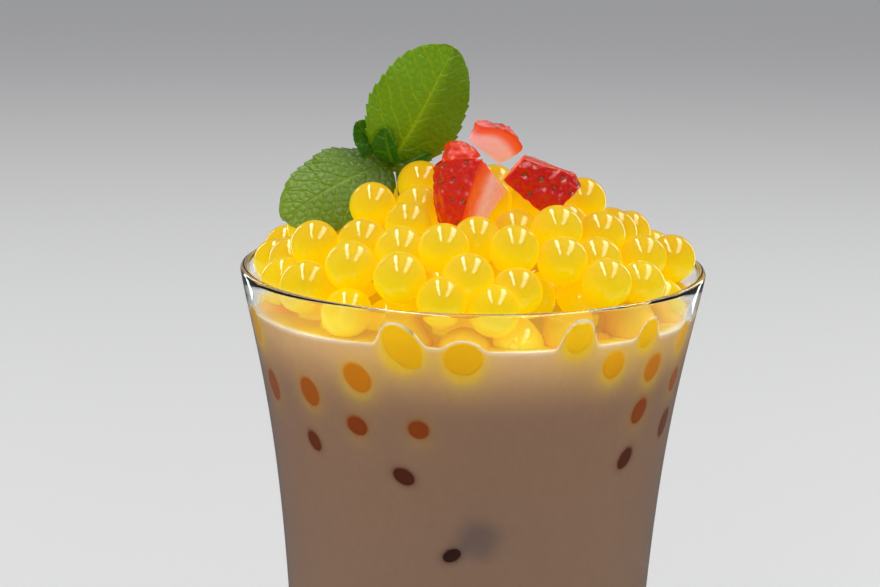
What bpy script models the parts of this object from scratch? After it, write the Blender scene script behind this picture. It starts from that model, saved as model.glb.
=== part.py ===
"""Bubble tea: milk tea in a clear flared glass, heaped with yellow pearls, cut strawberry and mint.

Metres, +Z up. The origin is the centre of the glass's foot. Places above the drink are given
in millimetres from the centre of the rim as (right, back, up), and the front is towards -Y.
"""

import math

import bmesh
import bpy
import numpy as np
from mathutils import Matrix, Vector
from mathutils.bvhtree import BVHTree

MM = 0.001

# The glass: a near-straight body that flares out to the rim
GLASS_HEIGHT = 150 * MM
RIM_RADIUS = 44 * MM
FLARE = 7.25 * MM
FLARE_DEPTH = 31.6 * MM
FLARE_POWER = 1.25
BODY_TAPER = 0.028
WALL_AT_RIM = 1.5 * MM
WALL_AT_FOOT = 2.6 * MM
FLOOR_THICKNESS = 10 * MM
INNER_CORNER = 7 * MM
FOOT_ROUNDING = 2.2 * MM
GLASS_STEPS = 40

# The drink, and the gap that every loose piece keeps to its neighbours
TEA_BELOW_RIM = 6.2 * MM
GAP = 0.3 * MM

# The heap of pearls: their centres lie on a dome that stands above the rim
PEARL_RADIUS = 4.45 * MM
PEARL_SPREAD = 0.045
MOUND_RISE = 13.0 * MM
MOUND_REACH = 38.0 * MM
LAYER_DROP = 4.5 * MM
LOWEST_PEARL = 7.0 * MM
LAYER_COUNTS = (84, 40)
PEARL_SEED = 5
RELAX_STEPS = 400
SETTLE_STEPS = 100
EASE_STEPS = 12
CORE_BELOW_CENTRES = 1.3 * MM
CORE_FROM_WALL = 4.6 * MM

# Pearls that the eye picks out, such as the crown beside the mint and those along the rim
LANDMARK_PEARLS = (
    (-11.2, 1.6, 13.7),
    (-19.0, -4.0, 9.8),
    (-12.2, -11.5, 9.6),
    (-1.0, -19.2, 9.2),
    (7.2, -11.5, 11.2),
    (20.7, 4.0, 10.8),
    (30.1, 6.0, 4.7),
    (23.1, -8.5, 7.0),
    (13.3, -16.0, 9.0),
    (5.5, -25.5, 6.8),
    (-4.6, -25.0, 7.6),
    (15.0, -24.5, 5.6),
    (31.2, -11.0, 3.1),
    (37.0, -6.0, 1.6),
    (22.0, -27.5, 2.0),
    (-1.5, -33.5, 3.6),
    (-12.6, -30.5, 3.4),
    (-22.0, -24.5, 3.5),
    (-28.0, -12.5, 5.0),
    (-29.6, -22.4, 0.4),
    (-22.5, -31.0, -1.6),
)

# Room that the cut strawberry and the mint's stem take up in the heap: place and radius in mm
TAKEN_ROOM = (
    (-1.2, -11.0, 13.6, 6.0),
    (-4.6, -13.8, 10.2, 2.8),
    (13.0, -6.8, 15.6, 5.2),
    (8.6, -6.8, 15.0, 4.0),
    (-2.4, -0.8, 18.6, 3.6),
    (3.6, 1.2, 22.0, 4.4),
    (-5.4, 6.6, 17.6, 3.0),
    (-13.6, 7.2, 13.0, 1.2),
)

# Strawberry: a whole berry's size, from which the pieces are cut
BERRY_LENGTH = 25 * MM
BERRY_RADIUS = 10 * MM
BERRY_WIDEST = 16 * MM

# Mint: the sheet's thickness and the saw teeth along a leaf's edge
LEAF_THICKNESS = 0.45 * MM
LEAF_TEETH = 9
TOOTH_DEPTH = 0.12
STEM_RADIUS = 1.0 * MM
PETIOLE_RADIUS = 0.6 * MM
SPRIG_NODE = (-14.2, 7.4, 16.6)
STEM_END = (-13.4, 7.0, 10.6)


def clear_scene():
    for obj in list(bpy.data.objects):
        bpy.data.objects.remove(obj, do_unlink=True)


def new_collection(name):
    made = bpy.data.collections.new(name)
    bpy.context.scene.collection.children.link(made)
    return made


def finish_of(name, colour, roughness, clear=0.0):
    """A Principled material with the colour and gloss seen on the real thing."""
    material = bpy.data.materials.new(name)
    material.use_nodes = True
    shader = material.node_tree.nodes["Principled BSDF"]
    shader.inputs["Base Color"].default_value = (*colour, 1.0)
    shader.inputs["Roughness"].default_value = roughness
    shader.inputs["Metallic"].default_value = 0.0
    shader.inputs["Transmission Weight"].default_value = clear
    return material


def add_object(name, mesh, collection, material=None):
    obj = bpy.data.objects.new(name, mesh)
    collection.objects.link(obj)
    if material:
        mesh.materials.clear()
        mesh.materials.append(material)
    return obj


def evaluated_mesh(obj):
    """A copy of the object's mesh with its modifiers carried out."""
    bpy.context.view_layer.update()
    graph = bpy.context.evaluated_depsgraph_get()
    return bpy.data.meshes.new_from_object(obj.evaluated_get(graph))


def carry_out_modifiers(obj):
    made = evaluated_mesh(obj)
    obj.modifiers.clear()
    obj.data = made


def from_rim(place):
    """A place given in millimetres from the rim's centre, as a point in metres."""
    right, back, up = place
    return Vector((right * MM, back * MM, GLASS_HEIGHT + up * MM))


def outer_radius(height):
    below = max(GLASS_HEIGHT - height, 0.0)
    flare = FLARE * math.exp(-((below / FLARE_DEPTH) ** FLARE_POWER))
    return RIM_RADIUS - FLARE - BODY_TAPER * below + flare


def wall_thickness(height):
    share = (GLASS_HEIGHT - height) / GLASS_HEIGHT
    return WALL_AT_RIM + (WALL_AT_FOOT - WALL_AT_RIM) * share


def inner_radius(height):
    return outer_radius(height) - wall_thickness(height)


def arc(centre_x, centre_z, radius, start, end, points):
    """Points along an arc from one angle to another, in degrees."""
    angles = np.radians(np.linspace(start, end, points))
    return [(centre_x + radius * math.cos(a), centre_z + radius * math.sin(a)) for a in angles]


def turned(name, profile, collection, material):
    """A closed solid turned about Z from (radius, height) points that run down its outer side."""
    mesh = bpy.data.meshes.new(name)
    points = [(x, 0.0, z) for x, z in profile]
    mesh.from_pydata(points, [(i, i + 1) for i in range(len(points) - 1)], [])
    obj = add_object(name, mesh, collection, material)
    screw = obj.modifiers.new("turn", "SCREW")
    screw.steps = screw.render_steps = GLASS_STEPS
    screw.use_merge_vertices = True
    screw.merge_threshold = 0.00005
    screw.use_smooth_shade = True
    return obj


def cavity_outline(clearance, top, samples):
    """Inside of the glass from a height down to the middle of its floor, kept clear of the glass."""
    floor = FLOOR_THICKNESS + clearance
    corner_height = floor + INNER_CORNER
    heights = np.linspace(top, corner_height, samples)
    wall = [(inner_radius(z) - clearance, z) for z in heights]
    corner_x = inner_radius(corner_height) - clearance - INNER_CORNER
    corner = arc(corner_x, corner_height, INNER_CORNER, 0, -90, 4)[1:]
    return wall + corner + [(0.0, floor)]


def make_glass(collection, material):
    half_wall = WALL_AT_RIM / 2
    lip_centre = GLASS_HEIGHT - half_wall
    inside = cavity_outline(0.0, lip_centre, 8)[::-1]
    middle = inner_radius(lip_centre) + wall_thickness(lip_centre) / 2
    lip = arc(middle, lip_centre, wall_thickness(lip_centre) / 2, 180, 0, 5)[1:-1]
    heights = np.linspace(lip_centre, FOOT_ROUNDING, 9)
    outside = [(outer_radius(z), z) for z in heights]
    foot_x = outer_radius(FOOT_ROUNDING) - FOOT_ROUNDING
    foot = arc(foot_x, FOOT_ROUNDING, FOOT_ROUNDING, 0, -90, 3)[1:]
    return turned("glass", inside + lip + outside + foot + [(0.0, 0.0)], collection, material)


def make_tea(collection, material):
    level = GLASS_HEIGHT - TEA_BELOW_RIM
    outline = [(0.0, level)] + cavity_outline(GAP, level, 7)
    return turned("milk_tea", outline, collection, material)


def mound_height(radius):
    """Height of the pearls' centres at a distance from the axis."""
    return GLASS_HEIGHT + MOUND_RISE * (1 - (radius / MOUND_REACH) ** 2)


def inner_radii(heights):
    return np.array([inner_radius(min(z, GLASS_HEIGHT)) for z in heights])


def wanted_places(draw):
    """Where the pearls would like to lie: the landmarks, then layers along a sunflower spiral."""
    landmarks = [from_rim(place) for place in LANDMARK_PEARLS]
    wanted = [tuple(place) for place in landmarks]
    golden = math.pi * (3 - math.sqrt(5))
    reach = inner_radius(GLASS_HEIGHT) - PEARL_RADIUS
    for layer, count in enumerate(LAYER_COUNTS):
        for k in range(count):
            radius = reach * math.sqrt((k + 0.5) / count)
            angle = golden * k + layer
            x, y = radius * math.cos(angle), radius * math.sin(angle)
            z = mound_height(radius) - layer * LAYER_DROP + draw.uniform(-1.6, 0.2) * MM
            near = min((Vector((x, y, z)) - place).length for place in landmarks)
            if near > 1.3 * PEARL_RADIUS:
                wanted.append((x, y, z))
    return np.array(wanted), len(landmarks)


def push_apart(places, radii):
    """Moves each pair of pearls that cross half their overlap apart."""
    between = places[:, None, :] - places[None, :, :]
    distance = np.linalg.norm(between, axis=2) + np.eye(len(places))
    overlap = np.maximum(radii[:, None] + radii[None, :] - distance, 0.0)
    np.fill_diagonal(overlap, 0.0)
    return places + 0.5 * ((overlap / distance)[:, :, None] * between).sum(axis=1)


def make_room(places, radii):
    """Moves the pearls out of the room that the toppings take up."""
    for *place, room in TAKEN_ROOM:
        between = places - np.array(place) * MM - (0, 0, GLASS_HEIGHT)
        distance = np.linalg.norm(between, axis=1)
        depth = np.maximum(radii + GAP + room * MM - distance, 0.0)
        places += (depth / distance)[:, None] * between


def push_off(places, radii, toppings):
    """Moves the pearls clear of the toppings' true surface."""
    for i, (place, radius) in enumerate(zip(places, radii)):
        centre = Vector(place)
        nearest, _, _, distance = toppings.find_nearest(centre)
        if distance < radius + GAP:
            places[i] = nearest + (centre - nearest).normalized() * float(radius + GAP)


def keep_inside(places, radii):
    """Keeps the pearls off the glass."""
    reach = inner_radii(places[:, 2]) - radii - 1.5 * GAP
    distance = np.linalg.norm(places[:, :2], axis=1)
    places[:, :2] *= np.minimum(reach / np.maximum(distance, 1e-9), 1.0)[:, None]


def pack_pearls(toppings):
    """(centres, radii) of the pearls in the heap, relaxed until none crosses another piece."""
    draw = np.random.RandomState(PEARL_SEED)
    wanted, landmarks = wanted_places(draw)
    radii = PEARL_RADIUS * (1 + draw.uniform(-PEARL_SPREAD, PEARL_SPREAD, len(wanted)))
    headroom = draw.uniform(-1.5, 0.8, len(wanted)) * MM
    pull = np.full((len(wanted), 3), (0.01, 0.01, 0.04))
    pull[:landmarks] = 0.5
    places = wanted.copy()
    for step in range(RELAX_STEPS + SETTLE_STEPS):
        if step < RELAX_STEPS:
            places += pull * (wanted - places)
        places = push_apart(places, radii)
        make_room(places, radii)
        ceiling = mound_height(np.hypot(places[:, 0], places[:, 1])) + headroom
        ceiling[:landmarks] = wanted[:landmarks, 2] + 0.3 * MM
        places[:, 2] = np.clip(places[:, 2], GLASS_HEIGHT - LOWEST_PEARL, ceiling)
        keep_inside(places, radii)
    for _ in range(EASE_STEPS):
        places = push_apart(places, radii)
        keep_inside(places, radii)
        push_off(places, radii, toppings)
    return places, radii


def keep_outer_shell(mesh):
    """Drops loose scraps and the walls of sealed hollows, which leaves one solid."""
    shape = bmesh.new()
    shape.from_mesh(mesh)
    unseen = set(shape.verts)
    shells = []
    while unseen:
        shell, front = set(), [unseen.pop()]
        while front:
            vertex = front.pop()
            shell.add(vertex)
            reached = {e.other_vert(vertex) for e in vertex.link_edges} & unseen
            unseen -= reached
            front.extend(reached)
        shells.append(shell)
    largest = max(shells, key=len)
    scraps = [v for shell in shells if shell is not largest for v in shell]
    bmesh.ops.delete(shape, geom=scraps, context="VERTS")
    shape.to_mesh(mesh)
    shape.free()


def join_all(obj, others, solver="EXACT"):
    """Joins a collection of solids onto one object and removes them."""
    union = obj.modifiers.new("join", "BOOLEAN")
    union.operation = "UNION"
    union.operand_type = "COLLECTION"
    union.collection = others
    union.solver = solver
    carry_out_modifiers(obj)
    for other in list(others.objects):
        bpy.data.objects.remove(other, do_unlink=True)
    bpy.data.collections.remove(others)
    keep_outer_shell(obj.data)


def pearl_mesh():
    """A ball of few sides, as large as the round pearl on average."""
    mesh = bpy.data.meshes.new("pearl")
    shape = bmesh.new()
    bmesh.ops.create_icosphere(shape, subdivisions=2, radius=1.02)
    shape.to_mesh(mesh)
    shape.free()
    return mesh


def core_outline():
    """The plain mound under the pearls, from its peak down its side to the drink."""
    bottom = GLASS_HEIGHT - TEA_BELOW_RIM + GAP
    edge = inner_radius(GLASS_HEIGHT) - CORE_FROM_WALL
    top = [(r, mound_height(r) - CORE_BELOW_CENTRES) for r in np.linspace(0, edge, 9)]
    side = [(inner_radius(bottom) - CORE_FROM_WALL, bottom), (0.0, bottom)]
    return top + side


def make_pearls(collection, material, sprig, berries):
    """The heap: a plain core with the pearls that show fused on."""
    places, radii = pack_pearls(surface_of([sprig, *berries]))
    heap = turned("pearls", core_outline(), collection, material)
    carry_out_modifiers(heap)
    fused = new_collection("pearls to fuse")
    ball = pearl_mesh()
    bottom = GLASS_HEIGHT - TEA_BELOW_RIM + GAP
    for place, radius in held_up(places, radii):
        from_axis = math.hypot(place[0], place[1])
        outer = place[2] > mound_height(from_axis) - 6.0 * MM
        at_wall = from_axis > inner_radius(GLASS_HEIGHT) - 2.2 * PEARL_RADIUS
        if place[2] > bottom and (outer or at_wall):
            pearl = add_object("pearl", ball.copy(), fused)
            turn = Matrix.Rotation(2.4 * len(fused.objects), 4, "Z")
            pearl.matrix_world = Matrix.Translation(place) @ turn @ Matrix.Scale(radius, 4)
    print("pearls fused:", len(fused.objects))
    join_all(heap, fused, "MANIFOLD")
    cut_flat(heap.data, bottom)
    leave_pockets(heap, berries)
    return heap


def held_up(places, radii):
    """The pearls, with one more hidden under each that stands clear of the core."""
    for place, radius in zip(places, radii):
        yield place, radius
        if place[2] - mound_height(math.hypot(place[0], place[1])) > radius - 2 * MM:
            yield place - (0, 0, radius), radius


def leave_pockets(heap, toppings):
    """Cuts the heap back to a gap round each topping that is pressed into it."""
    for topping in toppings:
        pocket = topping.copy()
        pocket.data = topping.data.copy()
        bpy.context.scene.collection.objects.link(pocket)
        grow = 1 + 2 * GAP / min(topping.dimensions)
        pocket.scale = (grow, grow, grow)
        cut = heap.modifiers.new("pocket", "BOOLEAN")
        cut.operation = "DIFFERENCE"
        cut.object = pocket
        cut.solver = "MANIFOLD"
        carry_out_modifiers(heap)
        bpy.data.objects.remove(pocket, do_unlink=True)
    keep_outer_shell(heap.data)


def cut_flat(mesh, height):
    """Cuts away what lies below a height and closes the cut."""
    shape = bmesh.new()
    shape.from_mesh(mesh)
    geometry = list(shape.verts) + list(shape.edges) + list(shape.faces)
    plane = {"plane_co": (0, 0, height), "plane_no": (0, 0, -1)}
    cut = bmesh.ops.bisect_plane(shape, geom=geometry, clear_outer=True, **plane)
    edges = [e for e in cut["geom_cut"] if isinstance(e, bmesh.types.BMEdge)]
    bmesh.ops.holes_fill(shape, edges=edges)
    bmesh.ops.triangulate(shape, faces=shape.faces)
    shape.to_mesh(mesh)
    shape.free()


def berry_radius(along):
    """Radius of a whole strawberry at a distance from its tip."""
    if along < BERRY_WIDEST:
        return BERRY_RADIUS * (1 - (1 - along / BERRY_WIDEST) ** 2) ** 0.6
    past = (along - BERRY_WIDEST) / (BERRY_LENGTH - BERRY_WIDEST)
    return BERRY_RADIUS * math.sqrt(max(1 - past**2, 0.0))


def axes_from(main, side):
    """A rotation whose Z runs along main and whose X leans to side."""
    z = Vector(main).normalized()
    x = Vector(side)
    x = (x - z * x.dot(z)).normalized()
    return Matrix((x, z.cross(x), z)).transposed().to_4x4()


def berry_cuts(start, end, opening, slant):
    """(point, outward direction) of each knife cut that leaves one piece of the berry."""
    half = math.radians(opening) / 2
    lean = math.radians(slant)
    return (
        ((0, 0, 0), (-math.sin(half), math.cos(half), 0)),
        ((0, 0, 0), (-math.sin(half), -math.cos(half), 0)),
        ((0, 0, start), (0, 0, -1)),
        ((0, 0, end), (math.sin(lean), 0, math.cos(lean))),
    )


def cut_away(shape, point, outward):
    """Cuts off what lies beyond a plane and closes the cut."""
    geometry = list(shape.verts) + list(shape.edges) + list(shape.faces)
    plane = {"plane_co": point, "plane_no": outward}
    cut = bmesh.ops.bisect_plane(shape, geom=geometry, clear_outer=True, **plane)
    edges = [e for e in cut["geom_cut"] if isinstance(e, bmesh.types.BMEdge)]
    bmesh.ops.holes_fill(shape, edges=edges)


def make_berry_piece(name, collection, material, place, tip, skin, size, start, end, opening, slant,
                     trims):
    """A wedge of strawberry between cuts along and across its axis, with its ends trimmed."""
    shape = bmesh.new()
    bmesh.ops.create_uvsphere(shape, u_segments=32, v_segments=20, radius=1.0)
    for v in shape.verts:
        angle = math.atan2(v.co.y, v.co.x)
        along = (1 + v.co.z) / 2 * BERRY_LENGTH
        radius = berry_radius(along) if abs(v.co.z) < 0.9999 else 0.0
        lumps = 1 + 0.025 * math.sin(3 * angle + 1.3) + 0.02 * math.cos(5 * angle + 400 * along)
        v.co = (radius * lumps * math.cos(angle), radius * lumps * math.sin(angle), along)
        v.co *= size
    for point, outward in berry_cuts(start * MM, end * MM, opening, slant):
        cut_away(shape, point, outward)
    bmesh.ops.transform(shape, matrix=axes_from(-Vector(tip), skin), verts=shape.verts)
    low = Vector([min(v.co[axis] for v in shape.verts) for axis in range(3)])
    high = Vector([max(v.co[axis] for v in shape.verts) for axis in range(3)])
    bmesh.ops.translate(shape, verts=shape.verts, vec=-(low + high) / 2)
    for angle, reach in trims:
        outward = Vector((math.cos(math.radians(angle)), 0, math.sin(math.radians(angle))))
        cut_away(shape, outward * reach * MM, outward)
    bmesh.ops.remove_doubles(shape, verts=shape.verts, dist=0.02 * MM)
    bmesh.ops.triangulate(shape, faces=shape.faces)
    bmesh.ops.recalc_face_normals(shape, faces=shape.faces)
    mesh = bpy.data.meshes.new(name)
    shape.to_mesh(mesh)
    shape.free()
    obj = add_object(name, mesh, collection, material)
    obj.location = from_rim(place)
    return obj


# Strawberry pieces: middle of the wedge's box, where its tip points, where its skin faces, how large
# its berry was, the stretch it was cut from (mm from the tip), its opening angle and slant, and the
# trims, each as its direction seen from the front (degrees from +X) and its mm from the middle
BERRY_PIECES = {
    "strawberry_front": dict(
        place=(-0.9, -11.2, 13.1), tip=(-0.51, -0.58, -0.63), skin=(-0.81, -0.55, 0.21),
        size=1.60, start=0.9, end=17.1, opening=67, slant=20, trims=((283, 4.8),),
    ),
    "strawberry_right": dict(
        place=(12.9, -7.0, 16.2), tip=(0.76, -0.14, -0.63), skin=(0.52, -0.85, 0.07),
        size=0.94, start=0.0, end=17.4, opening=83, slant=5, trims=((71, 3.6), (311, 4.9)),
    ),
    "strawberry_top": dict(
        place=(3.9, 1.6, 22.4), tip=(-0.58, -0.63, 0.51), skin=(-0.02, -0.40, 0.91),
        size=0.67, start=2.5, end=13.8, opening=43, slant=-10, trims=((58, 6.7),),
    ),
    "strawberry_left": dict(
        place=(-2.4, -0.6, 20.2), tip=(-0.58, -0.80, -0.12), skin=(-0.21, -0.62, 0.75),
        size=0.65, start=1.1, end=6.3, opening=97, slant=7, trims=(),
    ),
    "strawberry_back": dict(
        place=(-5.0, 6.8, 17.1), tip=(-0.9, 0.1, 0.25), skin=(-0.3, -0.8, 0.5),
        size=0.8, start=0.5, end=5.5, opening=64, slant=0, trims=(),
    ),
}


def leaf_half_width(along, width):
    """Half the leaf's width at a share of its length, with forward-leaning saw teeth."""
    if along <= 0.0 or along >= 1.0:
        return 0.06 * width * (1 - along)
    blade = math.sin(math.pi * along**0.88) ** 0.48
    tooth = (along * LEAF_TEETH) % 1.0
    return width / 2 * blade * (1 - TOOTH_DEPTH * (1 - tooth))


def leaf_point(along, across, length, width, arch, cup, ripple):
    """A point of the leaf's sheet: Y runs to its tip, X across it, and Z up from its face."""
    x = across * leaf_half_width(along, width)
    rise = 4 * arch * length * along * (1 - along)
    trough = cup * width * abs(across) ** 1.5 * math.sin(math.pi * along) ** 0.5
    wave = ripple * width * across**2 * math.sin(2.6 * math.tau * along + 1.7 * across)
    return Vector((x, along * length, rise + trough + wave))


def make_leaf(name, collection, base, tip, face, length, width, arch, cup, ripple, fine):
    """One leaf as a thin wavy solid."""
    rows, columns = (LEAF_TEETH * 2, 4) if fine else (8, 2)
    shape = bmesh.new()
    bmesh.ops.create_grid(shape, x_segments=columns, y_segments=rows, size=1.0)
    for v in shape.verts:
        along = (v.co.y + 1) / 2
        sizes = (length * MM, width * MM, arch, cup, ripple)
        v.co = leaf_point(along, v.co.x, *sizes)
    bmesh.ops.triangulate(shape, faces=shape.faces)
    mesh = bpy.data.meshes.new(name)
    shape.to_mesh(mesh)
    shape.free()
    leaf = add_object(name, mesh, collection)
    thick = leaf.modifiers.new("thickness", "SOLIDIFY")
    thick.thickness = LEAF_THICKNESS
    thick.offset = 0.0
    carry_out_modifiers(leaf)
    main, side = Vector(tip).normalized(), Vector(face)
    frame = axes_from(main, side).to_3x3()
    across = frame.col[1]
    normal = frame.col[0]
    turn = Matrix((across, main, normal)).transposed().to_4x4()
    leaf.matrix_world = Matrix.Translation(from_rim(base)) @ turn
    return leaf


# Mint leaves: where the blade starts, where it points and faces, its size in mm,
# and how much of that size it is arched, cupped and rippled
MINT_LEAVES = {
    "upright": dict(
        base=(-16.0, 7.6, 17.3), tip=(0.46, 0.02, 0.89), face=(0.46, -0.87, 0.12),
        length=25.5, width=20.6, arch=0.05, cup=-0.10, ripple=0.02, fine=True,
    ),
    "low": dict(
        base=(-16.2, 5.6, 17.7), tip=(-0.80, -0.46, -0.38), face=(0.02, -0.80, 0.60),
        length=24.0, width=17.4, arch=0.10, cup=-0.10, ripple=0.03, fine=True,
    ),
    "bud_left": dict(
        base=(-15.8, 7.0, 17.6), tip=(-0.62, -0.12, 0.72), face=(0.35, -0.9, 0.1),
        length=10.5, width=7.5, arch=-0.05, cup=0.20, ripple=0.03, fine=False,
    ),
    "bud_middle": dict(
        base=(-15.2, 6.0, 17.6), tip=(-0.22, -0.22, 0.94), face=(-0.5, -0.8, -0.1),
        length=7.5, width=6.0, arch=0.08, cup=0.22, ripple=0.02, fine=False,
    ),
    "bud_right": dict(
        base=(-13.1, 7.6, 16.9), tip=(0.80, 0.45, 0.35), face=(-0.3, -0.6, 0.7),
        length=6.0, width=4.5, arch=0.08, cup=0.15, ripple=0.02, fine=False,
    ),
}


def tube_between(name, collection, points, radius):
    """A round stalk along a few points, as a closed mesh."""
    data = bpy.data.curves.new(name, "CURVE")
    data.dimensions = "3D"
    data.bevel_depth = radius
    data.bevel_resolution = 0
    data.use_fill_caps = True
    spline = data.splines.new("POLY")
    spline.points.add(len(points) - 1)
    for point, place in zip(spline.points, points):
        point.co = (*place, 1.0)
    curve = bpy.data.objects.new(name, data)
    collection.objects.link(curve)
    mesh = evaluated_mesh(curve)
    bpy.data.objects.remove(curve, do_unlink=True)
    shape = bmesh.new()
    shape.from_mesh(mesh)
    bmesh.ops.remove_doubles(shape, verts=shape.verts, dist=0.001 * MM)
    shape.to_mesh(mesh)
    shape.free()
    return add_object(name, mesh, collection)


def make_mint(collection, material):
    """The sprig: leaves on short stalks that meet on one stem."""
    node = from_rim(SPRIG_NODE)
    stem = tube_between("mint_sprig", collection, [node + Vector((0, 0, MM)), from_rim(STEM_END)],
                        STEM_RADIUS)
    stem.data.materials.append(material)
    parts = new_collection("leaves to fuse")
    for name, leaf in MINT_LEAVES.items():
        make_leaf(name, parts, **leaf)
        base = from_rim(leaf["base"])
        inside = base + Vector(leaf["tip"]).normalized() * 1.6 * MM
        tube_between(name + "_stalk", parts, [node, base, inside], PETIOLE_RADIUS)
    join_all(stem, parts, "MANIFOLD")
    return stem


def surface_of(objects):
    """One search tree over the faces of several objects."""
    corners, faces = [], []
    for obj in objects:
        first = len(corners)
        corners += [obj.matrix_world @ v.co for v in obj.data.vertices]
        faces += [[first + i for i in polygon.vertices] for polygon in obj.data.polygons]
    return BVHTree.FromPolygons(corners, faces)


def smooth(obj):
    """Smooth shading that stops at the object's real edges."""
    obj.data.shade_smooth()
    obj.data.set_sharp_from_angle(angle=math.radians(40))


def main():
    clear_scene()
    drink = new_collection("bubble tea")
    clear = finish_of("clear glass", (0.93, 0.95, 0.95), 0.02, clear=1.0)
    tea = finish_of("milk tea", (0.62, 0.42, 0.30), 0.35)
    pearl = finish_of("yellow pearl", (0.95, 0.62, 0.02), 0.12)
    berry = finish_of("strawberry", (0.72, 0.05, 0.03), 0.25)
    mint = finish_of("mint leaf", (0.16, 0.36, 0.05), 0.45)
    make_glass(drink, clear)
    make_tea(drink, tea)
    sprig = make_mint(drink, mint)
    berries = [make_berry_piece(name, drink, berry, **cut) for name, cut in BERRY_PIECES.items()]
    bpy.context.view_layer.update()
    heap = make_pearls(drink, pearl, sprig, berries)
    for obj in (sprig, heap, *berries):
        smooth(obj)


main()
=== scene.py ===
# %% [markdown]
# # Bubble tea in a flared glass
# A glass of milk tea carries a heap of soft yellow pearls, cut strawberry and a sprig of mint.
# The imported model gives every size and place. This lesson keeps them and adds what the eye
# wants to see: clear glass, milky drink, gel pearls, wet fruit and veined leaves.
# Lengths are in metres, and MM turns millimetres into metres. The origin is the middle of the
# glass's foot, +Z is up, and the front is towards -Y.

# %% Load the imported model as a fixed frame
import math

import bmesh
import bpy
import numpy as np
from mathutils import Matrix, Vector, noise
from mathutils.bvhtree import BVHTree


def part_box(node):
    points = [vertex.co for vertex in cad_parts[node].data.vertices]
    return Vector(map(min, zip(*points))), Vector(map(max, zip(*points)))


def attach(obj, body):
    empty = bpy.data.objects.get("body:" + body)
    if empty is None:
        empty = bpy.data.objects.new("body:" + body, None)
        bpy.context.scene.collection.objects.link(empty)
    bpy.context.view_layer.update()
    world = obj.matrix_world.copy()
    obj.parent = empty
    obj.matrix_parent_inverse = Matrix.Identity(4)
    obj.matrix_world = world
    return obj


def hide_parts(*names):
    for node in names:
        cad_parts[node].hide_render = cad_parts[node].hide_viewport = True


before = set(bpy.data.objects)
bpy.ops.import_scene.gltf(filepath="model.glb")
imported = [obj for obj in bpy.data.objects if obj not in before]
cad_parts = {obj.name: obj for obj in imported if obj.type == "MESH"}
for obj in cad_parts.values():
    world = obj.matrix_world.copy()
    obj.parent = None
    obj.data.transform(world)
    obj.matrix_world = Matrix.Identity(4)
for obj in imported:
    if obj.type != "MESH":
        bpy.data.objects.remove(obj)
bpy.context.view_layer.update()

MM = 0.001

# %% [markdown]
# ## Camera
# The photo was taken with a long lens from a little above the rim, turned by under a degree.
# Blender has helpers that frame an object by themselves, but here the view was fitted to the
# ellipse of the rim and the sides of the glass, so the camera is built from those few lengths:
# how far the rim's centre lies ahead of the lens, and how far below and beside its axis.

# %% Camera
PHOTO_WIDTH_PIXELS = 880
FOCAL_PIXELS = 1500
SENSOR_WIDTH = 36
VIEW_DOWN = 0.2233
VIEW_ROLL = -0.0128
RIM_AHEAD = 286.24 * MM
RIM_ABOVE_AXIS = 6.29 * MM
RIM_RIGHT_OF_AXIS = 6.105 * MM
GLASS_HEIGHT = 150 * MM


def place_camera():
    """A camera that sees the rim's centre at the fitted distance, height and side."""
    right = Vector((1, 0, 0))
    ahead = Vector((0, math.cos(VIEW_DOWN), -math.sin(VIEW_DOWN)))
    up = right.cross(ahead)
    rim_centre = Vector((0, 0, GLASS_HEIGHT))
    place = rim_centre - ahead * RIM_AHEAD - up * RIM_ABOVE_AXIS - right * RIM_RIGHT_OF_AXIS
    image_right = right * math.cos(VIEW_ROLL) - up * math.sin(VIEW_ROLL)
    image_up = right * math.sin(VIEW_ROLL) + up * math.cos(VIEW_ROLL)
    turn = Matrix((image_right, image_up, -ahead)).transposed().to_4x4()
    data = bpy.data.cameras.new("camera")
    data.sensor_width = SENSOR_WIDTH
    data.lens = FOCAL_PIXELS / PHOTO_WIDTH_PIXELS * SENSOR_WIDTH
    data.clip_start = 0.01
    camera = bpy.data.objects.new("camera", data)
    camera.matrix_world = Matrix.Translation(place) @ turn
    bpy.context.scene.collection.objects.link(camera)
    bpy.context.scene.camera = camera
    return camera


camera = place_camera()
print("lens", round(camera.data.lens, 1), "mm at", [round(x, 3) for x in camera.location])

# %% [markdown]
# ## Tools for meshes and materials
# Everything below is made of a few kinds of mesh: turned shapes, grids and scattered copies.
# Geometry Nodes could make them too. Arrays of points are chosen because the same numbers then
# place the pearls, shape the drink round them and paint it.

# %% Mesh and material helpers
def mesh_from(name, points, faces):
    """A smooth mesh from arrays of points and of faces."""
    mesh = bpy.data.meshes.new(name)
    mesh.from_pydata(np.asarray(points).tolist(), [], [list(face) for face in faces])
    mesh.shade_smooth()
    return mesh


def ring_faces(rings, steps):
    """Four-cornered faces that join each ring of points to the next one."""
    index = np.arange(rings * steps).reshape(rings, steps)
    after = np.roll(index, -1, axis=1)
    return np.stack([index[:-1], index[1:], after[1:], after[:-1]], axis=-1).reshape(-1, 4)


def paint(mesh, layer, colours):
    """Stores a colour for each point, which a material reads by the layer's name."""
    stored = mesh.color_attributes.new(layer, "FLOAT_COLOR", "POINT")
    rows = np.concatenate([colours, np.ones((len(colours), 1))], axis=1)
    stored.data.foreach_set("color", rows.astype(np.float32).ravel())


def add_piece(name, mesh, material, slot, *nodes):
    """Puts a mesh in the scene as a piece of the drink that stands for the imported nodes."""
    mesh.materials.append(material)
    piece = bpy.data.objects.new(name, mesh)
    bpy.context.scene.collection.objects.link(piece)
    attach(piece, "root")
    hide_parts(*nodes)
    print(name, len(mesh.vertices), "points")
    return piece


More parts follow.
